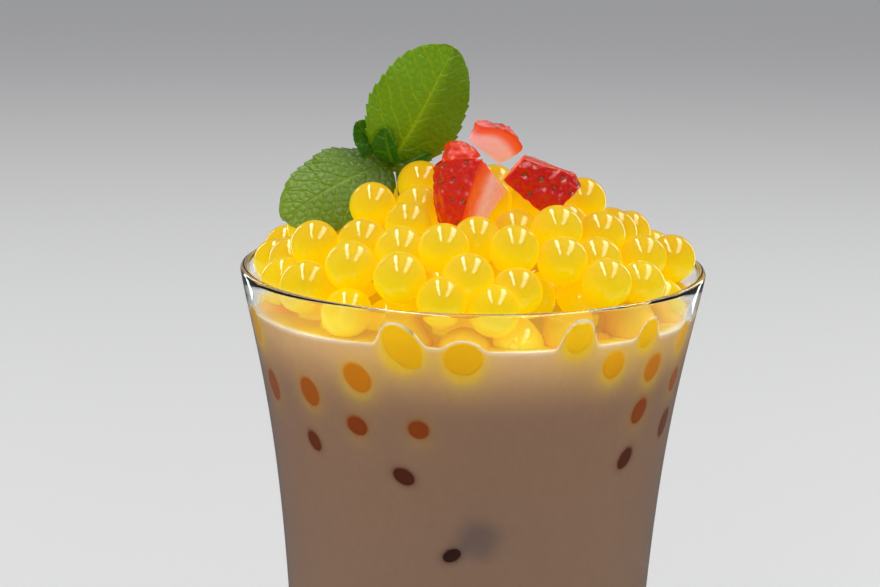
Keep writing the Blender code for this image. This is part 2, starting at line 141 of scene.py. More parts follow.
def new_material(name, **inputs):
    """A Principled material with sockets set by name. Light scatters in it by lengths in metres."""
    material = bpy.data.materials.new(name)
    material.use_nodes = True
    shader = material.node_tree.nodes["Principled BSDF"]
    for socket, value in {"Subsurface_Scale": 1.0, **inputs}.items():
        shader.inputs[socket.replace("_", " ")].default_value = value
    return material, material.node_tree, shader


def add_node(tree, kind, **settings):
    """One shader node, with its settings and unlinked inputs given by name."""
    made = tree.nodes.new(kind)
    for name, value in settings.items():
        if hasattr(made, name):
            setattr(made, name, value)
        else:
            made.inputs[name.replace("_", " ")].default_value = value
    return made


def painted(tree, layer):
    """The colour that a mesh carries in a layer."""
    return add_node(tree, "ShaderNodeVertexColor", layer_name=layer).outputs["Color"]


def clouded(tree, colour, low, high, **noise_settings):
    """A colour that noise darkens down to one share and lightens up to another."""
    speckle = add_node(tree, "ShaderNodeTexNoise", **noise_settings)
    cloud = add_node(tree, "ShaderNodeMapRange", To_Min=low, To_Max=high)
    toned = add_node(tree, "ShaderNodeMix", data_type="RGBA", blend_type="MULTIPLY", Factor=1.0)
    tree.links.new(speckle.outputs["Fac"], cloud.inputs["Value"])
    tree.links.new(colour, toned.inputs["A"])
    tree.links.new(cloud.outputs["Result"], toned.inputs["B"])
    return toned.outputs["Result"]


def smoothstep(low, high, value):
    """0 below low, 1 above high, and an S-curve between them."""
    share = np.clip((value - low) / (high - low), 0.0, 1.0)
    return share * share * (3 - 2 * share)


def line_share(distance, width):
    """1 on a line, and fading to 0 within about twice a width of it."""
    return np.exp(-((distance / width) ** 2))


def mix(first, second, share):
    """Rows of colour from first to second by a share for each row."""
    share = np.asarray(share)[:, None]
    return np.asarray(first) * (1 - share) + np.asarray(second) * share


def rotated(x, y, angle):
    """Both coordinates of points turned about the origin by an angle."""
    cosine, sine = math.cos(angle), math.sin(angle)
    return x * cosine - y * sine, x * sine + y * cosine


def turn_from(middle, angles):
    """How far each angle is turned from a middle, up to half a turn either way."""
    return np.angle(np.exp(1j * (angles - middle)))


def noise_at(points, size):
    """Smooth noise at each point, with lumps of a given size."""
    return np.array([noise.noise(Vector(point) / size) for point in points])


def linear(red, green, blue):
    """A colour as read off a screen, 0 to 255, as the linear light that Blender works in."""
    screen = np.array((red, green, blue)) / 255
    return np.where(screen < 0.04045, screen / 12.92, ((screen + 0.055) / 1.055) ** 2.4)


# %% [markdown]
# ## Floor and light
# A plain pale floor runs out to the horizon, and the world behind it is as pale. The pearls carry
# two upright streaks near their tops, so two long strips of light hang over the glass, a narrow
# bright one a little to the left and a broad soft one to the right, both running front to back.
# They show in gloss alone. Two upright strips behind draw the glass's edges. A wide soft panel
# above lights the heap, and a low one in front and one at each side keep the drink clear. Gloss
# shows no floor and only a third of the world, or else the glass would veil the drink with a pale
# reflection that the photo doesn't have.

# %% Floor and light
FLOOR_RADIUS = 60.0
PALE = (0.84, 0.835, 0.82)
SKY = (0.95, 0.96, 1.0)
WORLD_STRENGTH = 0.46
IN_GLOSS = 0.3
GLOSS_TINT = (0.88, 1.0, 0.90)
MIDDLE = (0, 0, 0.08)
HEAP = (0, 0, GLASS_HEIGHT)

# Name, middle, the point it looks at, width and length in metres, watts, and whether it shows in
# gloss alone or lights everything but gloss
PANELS = (
    ("narrow strip", (-0.22, -0.12, 0.95), (-0.22, -0.12, 0), 0.12, 1.6, 9.0, True),
    ("broad strip", (0.46, -0.12, 0.95), (0.46, -0.12, 0), 0.30, 1.8, 12.0, True),
    ("left edge strip", (-0.62, 0.85, 0.25), HEAP, 0.10, 0.9, 1.2, True),
    ("right edge strip", (0.62, 0.85, 0.25), HEAP, 0.10, 0.9, 1.2, True),
    ("top panel", (0.0, 0.20, 1.5), HEAP, 1.4, 1.0, 7.2, False),
    ("front panel", (-0.5, -1.4, 0.5), MIDDLE, 1.0, 0.8, 4.0, False),
    ("left panel", (-1.9, 0.1, 1.3), MIDDLE, 1.2, 1.2, 7.0, False),
    ("right panel", (1.9, 0.1, 1.3), MIDDLE, 1.2, 1.2, 8.6, False),
)


def add_floor():
    """A plain floor that runs out to the horizon. It shows in no gloss."""
    shape = bmesh.new()
    bmesh.ops.create_circle(shape, cap_ends=True, segments=96, radius=FLOOR_RADIUS)
    mesh = bpy.data.meshes.new("floor")
    shape.to_mesh(mesh)
    shape.free()
    mesh.materials.append(new_material("pale floor", Roughness=0.6, Base_Color=(*PALE, 1))[0])
    floor = bpy.data.objects.new("floor", mesh)
    floor.visible_glossy = False
    bpy.context.scene.collection.objects.link(floor)


def add_panel(name, place, target, width, length, watts, for_gloss):
    """A soft rectangular light whose face looks at a point."""
    data = bpy.data.lights.new(name, "AREA")
    data.shape = "RECTANGLE"
    data.size = width
    data.size_y = length
    data.energy = watts
    data.color = GLOSS_TINT if for_gloss else (1, 1, 1)
    light = bpy.data.objects.new(name, data)
    away = Vector(place) - Vector(target)
    light.matrix_world = Matrix.Translation(place) @ away.to_track_quat("Z", "Y").to_matrix().to_4x4()
    light.visible_glossy = for_gloss
    light.visible_diffuse = not for_gloss
    light.visible_camera = False
    bpy.context.scene.collection.objects.link(light)


def light_world():
    """An even world that gloss sees only a share of."""
    world = bpy.data.worlds.new("pale room")
    world.use_nodes = True
    background = world.node_tree.nodes["Background"]
    background.inputs["Color"].default_value = (*SKY, 1)
    path = add_node(world.node_tree, "ShaderNodeLightPath")
    shown = add_node(world.node_tree, "ShaderNodeMath", operation="MULTIPLY_ADD")
    shown.inputs[1].default_value = (IN_GLOSS - 1) * WORLD_STRENGTH
    shown.inputs[2].default_value = WORLD_STRENGTH
    world.node_tree.links.new(path.outputs["Is Glossy Ray"], shown.inputs[0])
    world.node_tree.links.new(shown.outputs[0], background.inputs["Strength"])
    bpy.context.scene.world = world


add_floor()
light_world()
for panel in PANELS:
    add_panel(*panel)
bpy.context.scene.view_settings.view_transform = "Standard"
bpy.context.scene.view_settings.look = "None"
print("lights:", len(PANELS))

# %% [markdown]
# ## The glass
# A pressed tumbler: nearly straight below, it flares out over its top third to a thin fire-polished
# rim, and it stands on a thick flat foot. A lathe makes such a thing, so its section is turned
# about Z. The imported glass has 40 flat sides, and this one has 240 with the same section.

# %% Section of the glass
RIM_RADIUS = 44 * MM
FLARE = 7.25 * MM
FLARE_DEPTH = 31.6 * MM
FLARE_POWER = 1.25
BODY_TAPER = 0.028
WALL_AT_RIM = 1.5 * MM
WALL_AT_FOOT = 2.6 * MM
FLOOR_THICKNESS = 10 * MM
INNER_CORNER = 7 * MM
FOOT_ROUNDING = 2.2 * MM


def outer_radius(height):
    """Radius of the outside: a straight taper, and a flare that dies away below the rim."""
    below = np.maximum(GLASS_HEIGHT - np.asarray(height, float), 0.0)
    flare = FLARE * np.exp(-((below / FLARE_DEPTH) ** FLARE_POWER))
    return RIM_RADIUS - FLARE - BODY_TAPER * below + flare


def wall_thickness(height):
    """The wall grows thicker from rim to foot."""
    share = (GLASS_HEIGHT - np.asarray(height, float)) / GLASS_HEIGHT
    return WALL_AT_RIM + (WALL_AT_FOOT - WALL_AT_RIM) * share


def inner_radius(height):
    """Radius of the inside."""
    return outer_radius(height) - wall_thickness(height)


def arc(centre_x, centre_z, radius, start, end, points):
    """Points along an arc from one angle to another, in degrees."""
    angles = np.radians(np.linspace(start, end, points))
    return np.stack([centre_x + radius * np.cos(angles), centre_z + radius * np.sin(angles)], axis=1)


def cavity_section(top, samples):
    """Inside of the glass from a height down to the middle of its floor."""
    heights = np.linspace(top, FLOOR_THICKNESS + INNER_CORNER, samples)
    wall = np.stack([inner_radius(heights), heights], axis=1)
    corner_x = float(inner_radius(heights[-1])) - INNER_CORNER
    corner = arc(corner_x, heights[-1], INNER_CORNER, 0, -90, 12)[1:]
    return np.concatenate([wall, corner, [(0.0, FLOOR_THICKNESS)]])


def glass_section():
    """The whole section, from the floor's middle up the inside, over the lip and down outside."""
    lip_centre = GLASS_HEIGHT - WALL_AT_RIM / 2
    inside = cavity_section(lip_centre, 70)[::-1]
    half_wall = float(wall_thickness(lip_centre)) / 2
    lip = arc(float(inner_radius(lip_centre)) + half_wall, lip_centre, half_wall, 180, 0, 13)[1:-1]
    heights = np.linspace(lip_centre, FOOT_ROUNDING, 80)
    outside = np.stack([outer_radius(heights), heights], axis=1)
    foot_x = float(outer_radius(FOOT_ROUNDING)) - FOOT_ROUNDING
    foot = arc(foot_x, FOOT_ROUNDING, FOOT_ROUNDING, 0, -90, 9)[1:]
    return np.concatenate([inside, lip, outside, foot, [(0.0, 0.0)]])


# %% Turn the glass
GLASS_STEPS = 240
GLASS_COLOUR = (0.985, 0.995, 0.99, 1)


def turned_mesh(name, section, steps):
    """Turns a section about Z. Its first and last points lie on the axis."""
    angles = np.arange(steps) * math.tau / steps
    rings = section[1:-1]
    x = rings[:, :1] * np.cos(angles)
    y = rings[:, :1] * np.sin(angles)
    z = np.repeat(rings[:, 1:], steps, axis=1)
    points = np.stack([x, y, z], axis=-1).reshape(-1, 3)
    ends = [(0, 0, section[0, 1]), (0, 0, section[-1, 1])]
    faces = ring_faces(len(rings), steps).tolist()
    top, bottom, last = len(points), len(points) + 1, (len(rings) - 1) * steps
    faces += [(top, i, (i + 1) % steps) for i in range(steps)]
    faces += [(bottom, last + (i + 1) % steps, last + i) for i in range(steps)]
    return mesh_from(name, np.concatenate([points, ends]), faces)


clear_glass, _, _ = new_material(
    "clear glass", Roughness=0.0, IOR=1.5, Transmission_Weight=1.0, Base_Color=GLASS_COLOUR
)
glass = add_piece("clear_tumbler", turned_mesh("clear_tumbler", glass_section(), GLASS_STEPS),
                  clear_glass, "clear_glass", "glass")
glass.visible_shadow = False

# %% [markdown]
# ## Where the pearls lie
# Cooked pearls settle into a dome that stands above the rim. A rigid-body simulation could drop
# them in, but then no pearl would lie where the photo shows it. So the places are worked out as in
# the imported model: a few pearls that the eye picks out, two loose layers round them, and then a
# few hundred small steps that push crossing pearls apart and keep them off glass, fruit and mint.

# %% Pearls the eye picks out, and room for what lies on the heap
PEARL_RADIUS = 4.45 * MM
PEARL_SPREAD = 0.045
MOUND_RISE = 13.0 * MM
MOUND_REACH = 38.0 * MM
LAYER_DROP = 4.5 * MM
LOWEST_PEARL = 7.0 * MM
LAYER_COUNTS = (84, 40)
PEARL_SEED = 5
RELAX_STEPS = 400
SETTLE_STEPS = 100
EASE_STEPS = 12
GAP = 0.3 * MM
GOLDEN_ANGLE = math.pi * (3 - math.sqrt(5))

# Places in mm from the rim's centre: right, back and up
LANDMARK_PEARLS = (
    (-11.2, 1.6, 13.7), (-19.0, -4.0, 9.8), (-12.2, -11.5, 9.6),
    (-1.0, -19.2, 9.2), (7.2, -11.5, 11.2), (20.7, 4.0, 10.8),
    (30.1, 6.0, 4.7), (23.1, -8.5, 7.0), (13.3, -16.0, 9.0),
    (5.5, -25.5, 6.8), (-4.6, -25.0, 7.6), (15.0, -24.5, 5.6),
    (31.2, -11.0, 3.1), (37.0, -6.0, 1.6), (22.0, -27.5, 2.0),
    (-1.5, -33.5, 3.6), (-12.6, -30.5, 3.4), (-22.0, -24.5, 3.5),
    (-28.0, -12.5, 5.0), (-29.6, -22.4, 0.4), (-22.5, -31.0, -1.6),
)

# Room that the fruit and the stem take up: right, back, up and radius in mm
TAKEN_ROOM = (
    (-1.2, -11.0, 13.6, 6.0), (-4.6, -13.8, 10.2, 2.8),
    (13.0, -6.8, 15.6, 5.2), (8.6, -6.8, 15.0, 4.0),
    (-2.4, -0.8, 18.6, 3.6), (3.6, 1.2, 22.0, 4.4),
    (-5.4, 6.6, 17.6, 3.0), (-13.6, 7.2, 13.0, 1.2),
)


def from_rim(place):
    """A place in mm from the rim's centre, as a point in metres."""
    right, back, up = place
    return Vector((right * MM, back * MM, GLASS_HEIGHT + up * MM))


def mound_height(radius):
    """Height of the pearls' centres at a distance from the axis."""
    return GLASS_HEIGHT + MOUND_RISE * (1 - (radius / MOUND_REACH) ** 2)


# %% Lay out two layers and relax them
def wanted_places(draw):
    """Where the pearls would like to lie: the picked ones, then layers along a sunflower spiral."""
    landmarks = [from_rim(place) for place in LANDMARK_PEARLS]
    wanted = [tuple(place) for place in landmarks]
    reach = float(inner_radius(GLASS_HEIGHT)) - PEARL_RADIUS
    for layer, count in enumerate(LAYER_COUNTS):
        for k in range(count):
            radius = reach * math.sqrt((k + 0.5) / count)
            angle = GOLDEN_ANGLE * k + layer
            x, y = radius * math.cos(angle), radius * math.sin(angle)
            z = mound_height(radius) - layer * LAYER_DROP + draw.uniform(-1.6, 0.2) * MM
            near = min((Vector((x, y, z)) - place).length for place in landmarks)
            if near > 1.3 * PEARL_RADIUS:
                wanted.append((x, y, z))
    return np.array(wanted), len(landmarks)


def push_apart(places, radii):
    """Moves each pair of pearls that cross half their overlap apart."""
    between = places[:, None, :] - places[None, :, :]
    distance = np.linalg.norm(between, axis=2) + np.eye(len(places))
    overlap = np.maximum(radii[:, None] + radii[None, :] - distance, 0.0)
    np.fill_diagonal(overlap, 0.0)
    return places + 0.5 * ((overlap / distance)[:, :, None] * between).sum(axis=1)


def make_room(places, radii):
    """Moves the pearls out of the room that the toppings take up."""
    for *place, room in TAKEN_ROOM:
        between = places - np.array(place) * MM - (0, 0, GLASS_HEIGHT)
        distance = np.linalg.norm(between, axis=1)
        depth = np.maximum(radii + GAP + room * MM - distance, 0.0)
        places += (depth / distance)[:, None] * between


def push_off(places, radii, toppings):
    """Moves the pearls clear of the toppings' true surface."""
    for i, (place, radius) in enumerate(zip(places, radii)):
        centre = Vector(place)
        nearest, _, _, distance = toppings.find_nearest(centre)
        if distance < radius + GAP:
            places[i] = nearest + (centre - nearest).normalized() * float(radius + GAP)


def keep_inside(places, radii):
    """Keeps the pearls off the glass."""
    reach = inner_radius(np.minimum(places[:, 2], GLASS_HEIGHT)) - radii - 1.5 * GAP
    distance = np.linalg.norm(places[:, :2], axis=1)
    places[:, :2] *= np.minimum(reach / np.maximum(distance, 1e-9), 1.0)[:, None]


def pack_pearls(toppings):
    """(centres, radii) of the pearls in the heap, pushed apart until they cross by under 0.1 mm."""
    draw = np.random.RandomState(PEARL_SEED)
    wanted, landmarks = wanted_places(draw)
    radii = PEARL_RADIUS * (1 + draw.uniform(-PEARL_SPREAD, PEARL_SPREAD, len(wanted)))
    headroom = draw.uniform(-1.5, 0.8, len(wanted)) * MM
    pull = np.full((len(wanted), 3), (0.01, 0.01, 0.04))
    pull[:landmarks] = 0.5
    places = wanted.copy()
    for step in range(RELAX_STEPS + SETTLE_STEPS):
        if step < RELAX_STEPS:
            places += pull * (wanted - places)
        places = push_apart(places, radii)
        make_room(places, radii)
        ceiling = mound_height(np.hypot(places[:, 0], places[:, 1])) + headroom
        ceiling[:landmarks] = wanted[:landmarks, 2] + 0.3 * MM
        places[:, 2] = np.clip(places[:, 2], GLASS_HEIGHT - LOWEST_PEARL, ceiling)
        keep_inside(places, radii)
    for _ in range(EASE_STEPS):
        places = push_apart(places, radii)
        keep_inside(places, radii)
        push_off(places, radii, toppings)
    return places, radii


def surface_of(objects):
    """One search tree over the faces of several objects."""
    corners, faces = [], []
    for obj in objects:
        first = len(corners)
        corners += [obj.matrix_world @ v.co for v in obj.data.vertices]
        faces += [[first + i for i in polygon.vertices] for polygon in obj.data.polygons]
    return BVHTree.FromPolygons(corners, faces)


BERRIES = ("strawberry_front", "strawberry_right", "strawberry_top", "strawberry_left",
           "strawberry_back")
toppings = surface_of([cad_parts[name] for name in (*BERRIES, "mint_sprig")])
heap_places, heap_radii = pack_pearls(toppings)
print("pearls in the heap:", len(heap_places), "top at", round(heap_places[:, 2].max() / MM, 1))

# %% [markdown]
# ## Pearls pressed to the glass
# Milk hides every pearl but those that touch the wall. Each shows as a disc, bright yellow near
# the top and darker and redder the deeper it lies, as the milk swallows the light from above.
# Those in front follow the photo. Round the sides and back a seeded draw carries the same pattern
# on: large discs close under the surface, then fewer and smaller ones further down.

# %% Where the discs are
# Depth below the rim in mm, angle from +X in degrees, mean radius in mm, length over width, and how
# far the long way is turned from level, in degrees
SEEN_DISCS = (
    (6.2, -107.2, 3.30, 1.50, 130), (7.9, -93.0, 2.90, 1.12, 0),
    (4.6, -66.0, 2.45, 1.15, 60), (5.8, -45.0, 2.10, 1.30, 60),
    (9.0, -26.5, 1.90, 1.30, 75), (9.0, -160.5, 2.60, 1.35, 100),
    (10.6, -55.0, 2.15, 1.08, 80), (13.0, -40.0, 2.10, 1.20, 60),
    (13.0, -119.5, 2.40, 1.20, 140), (17.8, -136.0, 2.20, 1.20, 120),
    (19.8, -155.2, 2.30, 1.25, 110), (17.8, -24.5, 1.80, 1.20, 70),
    (21.0, -42.0, 1.85, 1.30, 60), (26.2, -25.0, 2.10, 1.35, 65),
    (22.2, -121.0, 1.65, 1.20, 165), (21.4, -104.0, 1.50, 1.12, 0),
    (27.4, -137.0, 1.50, 1.30, 130), (29.8, -44.5, 1.60, 1.40, 50),
    (30.6, -108.5, 1.50, 1.35, 155), (45.0, -95.5, 1.20, 1.45, 35),
)
UNSEEN_FROM, UNSEEN_TO = -12.0, 188.0
UNSEEN_TOP, UNSEEN_LOW = 5.0, 50.0
UNSEEN_DISCS = 26
LARGEST_DISC = 3.1
DISC_SHRINK = 45.0
WALL_RADIUS = 38.0
DISC_SEED = 11


def unseen_discs():
    """Discs for the sides and back, sparser and smaller with depth, none touching another."""
    draw = np.random.RandomState(DISC_SEED)
    discs = []
    while len(discs) < UNSEEN_DISCS:
        below = UNSEEN_TOP + (UNSEEN_LOW - UNSEEN_TOP) * draw.random_sample() ** 1.8
        angle = draw.uniform(UNSEEN_FROM, UNSEEN_TO)
        radius = LARGEST_DISC * math.exp(-below / DISC_SHRINK) * draw.uniform(0.75, 1.1)
        apart = [math.hypot(below - b, math.radians(angle - a) * WALL_RADIUS) for b, a, *_ in discs]
        if min(apart, default=99) > 2 * PEARL_RADIUS / MM:
            discs.append((below, angle, radius, draw.uniform(1.05, 1.4), draw.uniform(0, 180)))
    return discs


discs = np.array([*SEEN_DISCS, *unseen_discs()])
disc_heights = GLASS_HEIGHT - discs[:, 0] * MM
disc_angles = np.radians(discs[:, 1])
disc_radii = discs[:, 2] * MM
disc_stretch = np.sqrt(discs[:, 3])
disc_lean = np.radians(discs[:, 4])
print("pearls at the wall:", len(discs))

# %% Keep the heap's pearls off those at the wall
PRESS = disc_radii**2 / (2 * PEARL_RADIUS)
wall_reach = inner_radius(disc_heights) - PEARL_RADIUS + PRESS
wall_places = np.stack(
    [wall_reach * np.cos(disc_angles), wall_reach * np.sin(disc_angles), disc_heights], axis=1
)
TEA_LEVEL = GLASS_HEIGHT - 6.7 * MM


def clear_of_wall_pearls(places, radii):
    """Lifts pearls off the wall's own, and drops those that sit where one of them is. The lifted
    ones aren't parted from the rest again, so a few end up to 2.7 mm inside a neighbour."""
    distance = np.linalg.norm(places[:, None] - wall_places[None], axis=2)
    nearest = distance.argmin(axis=1)
    gap = distance.min(axis=1)
    kept = gap > 1.1 * PEARL_RADIUS
    away = (places - wall_places[nearest]) / gap[:, None]
    short = np.maximum(radii + PEARL_RADIUS - 0.2 * MM - gap, 0.0)
    moved = places + away * short[:, None]
    keep_inside(moved, radii)
    return moved[kept], radii[kept]


heap_places, heap_radii = clear_of_wall_pearls(heap_places, heap_radii)
print("pearls kept in the heap:", len(heap_places))

# %% Let more pearls drop into the gaps
FILL_TRIES = 700
FILL_STEP = 0.4 * MM
SQUEEZE = 1.2 * MM
FILL_SEED = 8


def fill_gaps(places, radii):
    """More pearls under the outer ones, each as high as it fits with a little squeeze."""
    draw = np.random.RandomState(FILL_SEED)
    taken = np.concatenate([places, wall_places])
    taken_radii = np.concatenate([radii, np.full(len(discs), PEARL_RADIUS)])
    reach = float(inner_radius(TEA_LEVEL)) - PEARL_RADIUS
    added = []
    for k in range(FILL_TRIES):
        from_axis = reach * math.sqrt((k + 0.5) / FILL_TRIES)
        x, y = rotated(from_axis, 0.0, GOLDEN_ANGLE * k)
        radius = PEARL_RADIUS * (1 + draw.uniform(-PEARL_SPREAD, PEARL_SPREAD))
        for z in np.arange(mound_height(from_axis) - MM, TEA_LEVEL - 2 * MM, -FILL_STEP):
            apart = np.linalg.norm(taken - (x, y, z), axis=1) - taken_radii - radius
            if apart.min() > -SQUEEZE and toppings.find_nearest((x, y, z))[3] > radius:
                added.append((x, y, z, radius))
                taken = np.concatenate([taken, [(x, y, z)]])
                taken_radii = np.append(taken_radii, radius)
                break
    return np.array(added)


filler = fill_gaps(heap_places, heap_radii)
print("pearls in the gaps:", len(filler))

# %% [markdown]
# ## Gel pearls
# A pearl is a soft gel ball. Light enters at the top, bounces about and gathers at the bottom, so
# each ball is hazy or amber above, lemon yellow below, and glossy all over. Real refraction in a
# few hundred balls would be slow and noisy. Light scattered under the surface and a painted glow,
# the gel giving off light in its own colour, give the soft glow instead, and a colour that follows
# the surface's normal from top to bottom paints the gathered light: lemon below, and a hazy sheen
# or amber shade above.

# %% Material of the pearls
# Painted light and shade: lemon for the light gathered low in each ball, a hazy sheen and an amber
# shade for the tops, and a lit yellow for pearls low in the heap
LEMON = linear(228, 203, 4)
HAZE_SHEEN = linear(216, 182, 36)
AMBER_SHADE = linear(210, 162, 6)
SUNK_LIT = linear(226, 190, 4)


def pearl_material():
    """Glossy gel with a painted glow: painted lemon light where it faces down, and its painted tone of
    sheen or shade where it faces up.
    """
    material, tree, shader = new_material(
        "pearl gel",
        Roughness=0.07,
        IOR=1.42,
        Subsurface_Weight=0.9,
        Subsurface_Radius=(0.0040, 0.0038, 0.0008),
        # Painted glow: the gel gives off a little light in its own colour
        Emission_Strength=0.39,
    )
    facing = add_node(tree, "ShaderNodeNewGeometry")
    split = add_node(tree, "ShaderNodeSeparateXYZ")
    low = add_node(tree, "ShaderNodeMapRange", From_Min=0.85, From_Max=-0.45)
    low.interpolation_type = "SMOOTHSTEP"
    glow = add_node(tree, "ShaderNodeMix", data_type="RGBA", B=(*LEMON, 1))
    link = tree.links.new
    link(facing.outputs["Normal"], split.inputs[0])
    link(split.outputs["Z"], low.inputs["Value"])
    link(low.outputs["Result"], glow.inputs["Factor"])
    link(painted(tree, "tone"), glow.inputs["A"])
    toned = clouded(tree, glow.outputs["Result"], 0.93, 1.05, Scale=420.0, Detail=2.0)
    link(toned, shader.inputs["Base Color"])
    link(toned, shader.inputs["Emission Color"])
    return material


pearl_gel = pearl_material()

# %% Balls for the heap
TONE_SEED = 3


def unit_ball(subdivisions):
    """Points and faces of a ball of radius 1."""
    shape = bmesh.new()
    bmesh.ops.create_icosphere(shape, subdivisions=subdivisions, radius=1.0)
    points = np.array([v.co for v in shape.verts])
    faces = np.array([[v.index for v in face.verts] for face in shape.faces])
    shape.free()
    return points, faces


def balls(places, radii, draw, subdivisions=4):
    """Points and faces of many balls, each a little out of round."""
    points, faces = unit_ball(subdivisions)
    uneven = 1 + draw.uniform(-0.03, 0.03, (len(places), 1, 3))
    all_points = places[:, None] + points[None] * uneven * radii[:, None, None]
    starts = np.arange(len(places))[:, None, None] * len(points)
    return all_points.reshape(-1, 3), (faces[None] + starts).reshape(-1, 3)


def heap_tones(places, draw):
    """Painted light and shade by place: a hazy sheen in front, amber shade at the crown and back and a
    lit, clearer yellow low down, with some scatter.
    """
    back = smoothstep(-30 * MM, 12 * MM, places[:, 1])
    share = np.clip(0.2 + 0.6 * back + draw.uniform(-0.2, 0.2, len(places)), 0, 1)
    low = smoothstep(GLASS_HEIGHT + 2 * MM, GLASS_HEIGHT - 3 * MM, places[:, 2])
    return mix(mix(HAZE_SHEEN, AMBER_SHADE, share), SUNK_LIT, low)


draw = np.random.RandomState(TONE_SEED)
outer_points, outer_faces = balls(heap_places, heap_radii, draw)
inner_points, inner_faces = balls(filler[:, :3], filler[:, 3], draw, subdivisions=3)
heap_mesh = mesh_from("pearl_heap", np.concatenate([outer_points, inner_points]),
                      np.concatenate([outer_faces, inner_faces + len(outer_points)]))
outer_tones = np.repeat(heap_tones(heap_places, draw), len(outer_points) // len(heap_places), axis=0)
inner_tones = np.repeat(heap_tones(filler[:, :3], draw), len(inner_points) // len(filler), axis=0)
paint(heap_mesh, "tone", np.concatenate([outer_tones, inner_tones]))
print("faces of the heap:", len(heap_mesh.polygons))
add_piece("pearl_heap", heap_mesh, pearl_gel, "yellow_pearl", "pearls")

# %% [markdown]
# Under the outer pearls lie more of the same. They show only as amber shadow in the gaps, so one
# lumpy mound stands for them, turned like the glass, dented by noise and painted a darker amber
# as painted shade.

# %% Mound under the pearls
CORE_BELOW = 9.5 * MM
CORE_EDGE = 11.0 * MM
CORE_STEPS = 120


def core_mesh():
    """A dented mound that fills the heap below its outer pearls."""
    reach = float(inner_radius(TEA_LEVEL)) - CORE_EDGE
    radii = np.linspace(0, reach, 30)
    top = np.stack([radii, mound_height(radii) - CORE_BELOW], axis=1)
    side = [(reach, TEA_LEVEL - 3 * MM), (0.0, TEA_LEVEL - 3 * MM)]
    mesh = turned_mesh("pearl_core", np.concatenate([top, side]), CORE_STEPS)
    for v in mesh.vertices:
        dent = noise.noise(v.co / (5 * MM)) * 1.2 * MM
        v.co.z += min(dent, 0.4 * MM) if v.co.z > TEA_LEVEL else 0.0
    # Painted shade: the mound is a darker amber than the pearls over it
    paint(mesh, "tone", np.tile(AMBER_SHADE * 0.9, (len(mesh.vertices), 1)))
    return mesh


add_piece("pearl_core", core_mesh(), pearl_gel, "yellow_pearl", "pearls")

# %% [markdown]
# ## Milk tea
# The drink fills the glass to a few millimetres below the rim. Against the wall a film of milk
# climbs over the pearls that touch it, so its upper edge is a wavy cream line. Light from above
# warms the top centimetre, and below it the milk is an even pinkish brown. The outer surface is a
# grid of angles and heights that reaches just into the glass, so no air gap shows between them.
# A texture image could carry its colours, but each point's depth and distance to the nearest
# pearl gives them by formula.

# %% Upper edge of the milk along the wall
INTO_WALL = 0.15 * MM
TEA_COLUMNS = 640
FILM_OVER_PEARL = 0.55 * MM


def disc_outline(k, grown, steps):
    """(across, up) round the rim of a disc that is grown by a width."""
    turn = np.arange(steps) * math.tau / steps
    along = (disc_radii[k] * disc_stretch[k] + grown) * np.cos(turn)
    beside = (disc_radii[k] / disc_stretch[k] + grown) * np.sin(turn)
    return rotated(along, beside, disc_lean[k])


def edge_height(angles):
    """Height of the milk's edge at the wall: the level, raised over each pearl that it clings to."""
    wander = 0.5 * np.sin(3 * angles + 0.6) + 0.35 * np.sin(7 * angles + 2.1)
    level = TEA_LEVEL + wander * MM * 0.8
    raised = [level]
    for k in range(len(discs)):
        across = turn_from(disc_angles[k], angles) * float(inner_radius(disc_heights[k]))
        side, up = disc_outline(k, FILM_OVER_PEARL, 360)
        upper = np.full(len(angles), -99 * MM)
        for x, z in zip(side, up):
            near = np.abs(across - x) < 0.25 * MM
            upper[near] = np.maximum(upper[near], z)
        raised.append(np.maximum(disc_heights[k] + upper, level))
    raised = np.array(raised)
    peak = raised.max(axis=0)
    spread = np.exp(-0.5 * (np.arange(-6, 7) / 1.4) ** 2)
    return np.convolve(np.tile(peak, 3), spread / spread.sum(), "same")[len(angles):2 * len(angles)]


column_angles = np.arange(TEA_COLUMNS) * math.tau / TEA_COLUMNS
edge = np.minimum(edge_height(column_angles), GLASS_HEIGHT - 1.2 * MM)
edge = np.maximum(edge, TEA_LEVEL - 0.8 * MM)
print("milk's edge, mm below the rim:", round((GLASS_HEIGHT - edge.max()) / MM, 1), "to",
      round((GLASS_HEIGHT - edge.min()) / MM, 1))

# %% Colours of the milk
CREAM = linear(246, 226, 196)
WARM = linear(226, 182, 130)
MILK = linear(167, 131, 108)
DEEP_MILK = linear(162, 130, 109)
ICE = linear(126, 106, 101)
GLOW = linear(255, 214, 24)
PEARL_LIGHT = linear(244, 204, 12)
DISC_COLOURS = (
    (5.0, linear(254, 198, 3)),
    (10.0, linear(248, 180, 3)),
    (13.0, linear(222, 136, 2)),
    (18.0, linear(184, 94, 3)),
    (22.0, linear(150, 64, 3)),
    (27.0, linear(118, 50, 6)),
    (31.0, linear(84, 32, 7)),
    (45.0, linear(52, 18, 6)),
)


def disc_colour(below):
    """Colour of a pearl at the wall by its depth in mm below the rim."""
    depths = [depth for depth, _ in DISC_COLOURS]
    colours = np.array([colour for _, colour in DISC_COLOURS])
    return np.stack([np.interp(below, depths, colours[:, i]) for i in range(3)], axis=-1)


# In mm: how deep light reaches the discs, and how wide the glow, halo, blur and cream line are
LIT_DEPTH, GLOW_REACH, HALO, RIM_BLUR, CREAM_LINE = 15.0, 1.4, 1.1, 0.35, 0.55

# Depth below the rim in mm, angle from +X and turn in degrees, half its side and the wall's radius
ICE_BELOW, ICE_ANGLE, ICE_TURN, ICE_HALF, WALL_AT_ICE = 42.0, -88.3, 25.0, 4.0, 37.0


def ice_share(angles, below):
    """1 where the face of a sunk ice cube presses on the glass, with soft edges."""
    across = turn_from(math.radians(ICE_ANGLE), angles) * WALL_AT_ICE
    u, v = np.abs(rotated(across, below - ICE_BELOW, -math.radians(ICE_TURN)))
    return smoothstep(ICE_HALF + 1.4, ICE_HALF - 2.4, (u**3 + v**3) ** (1 / 3))


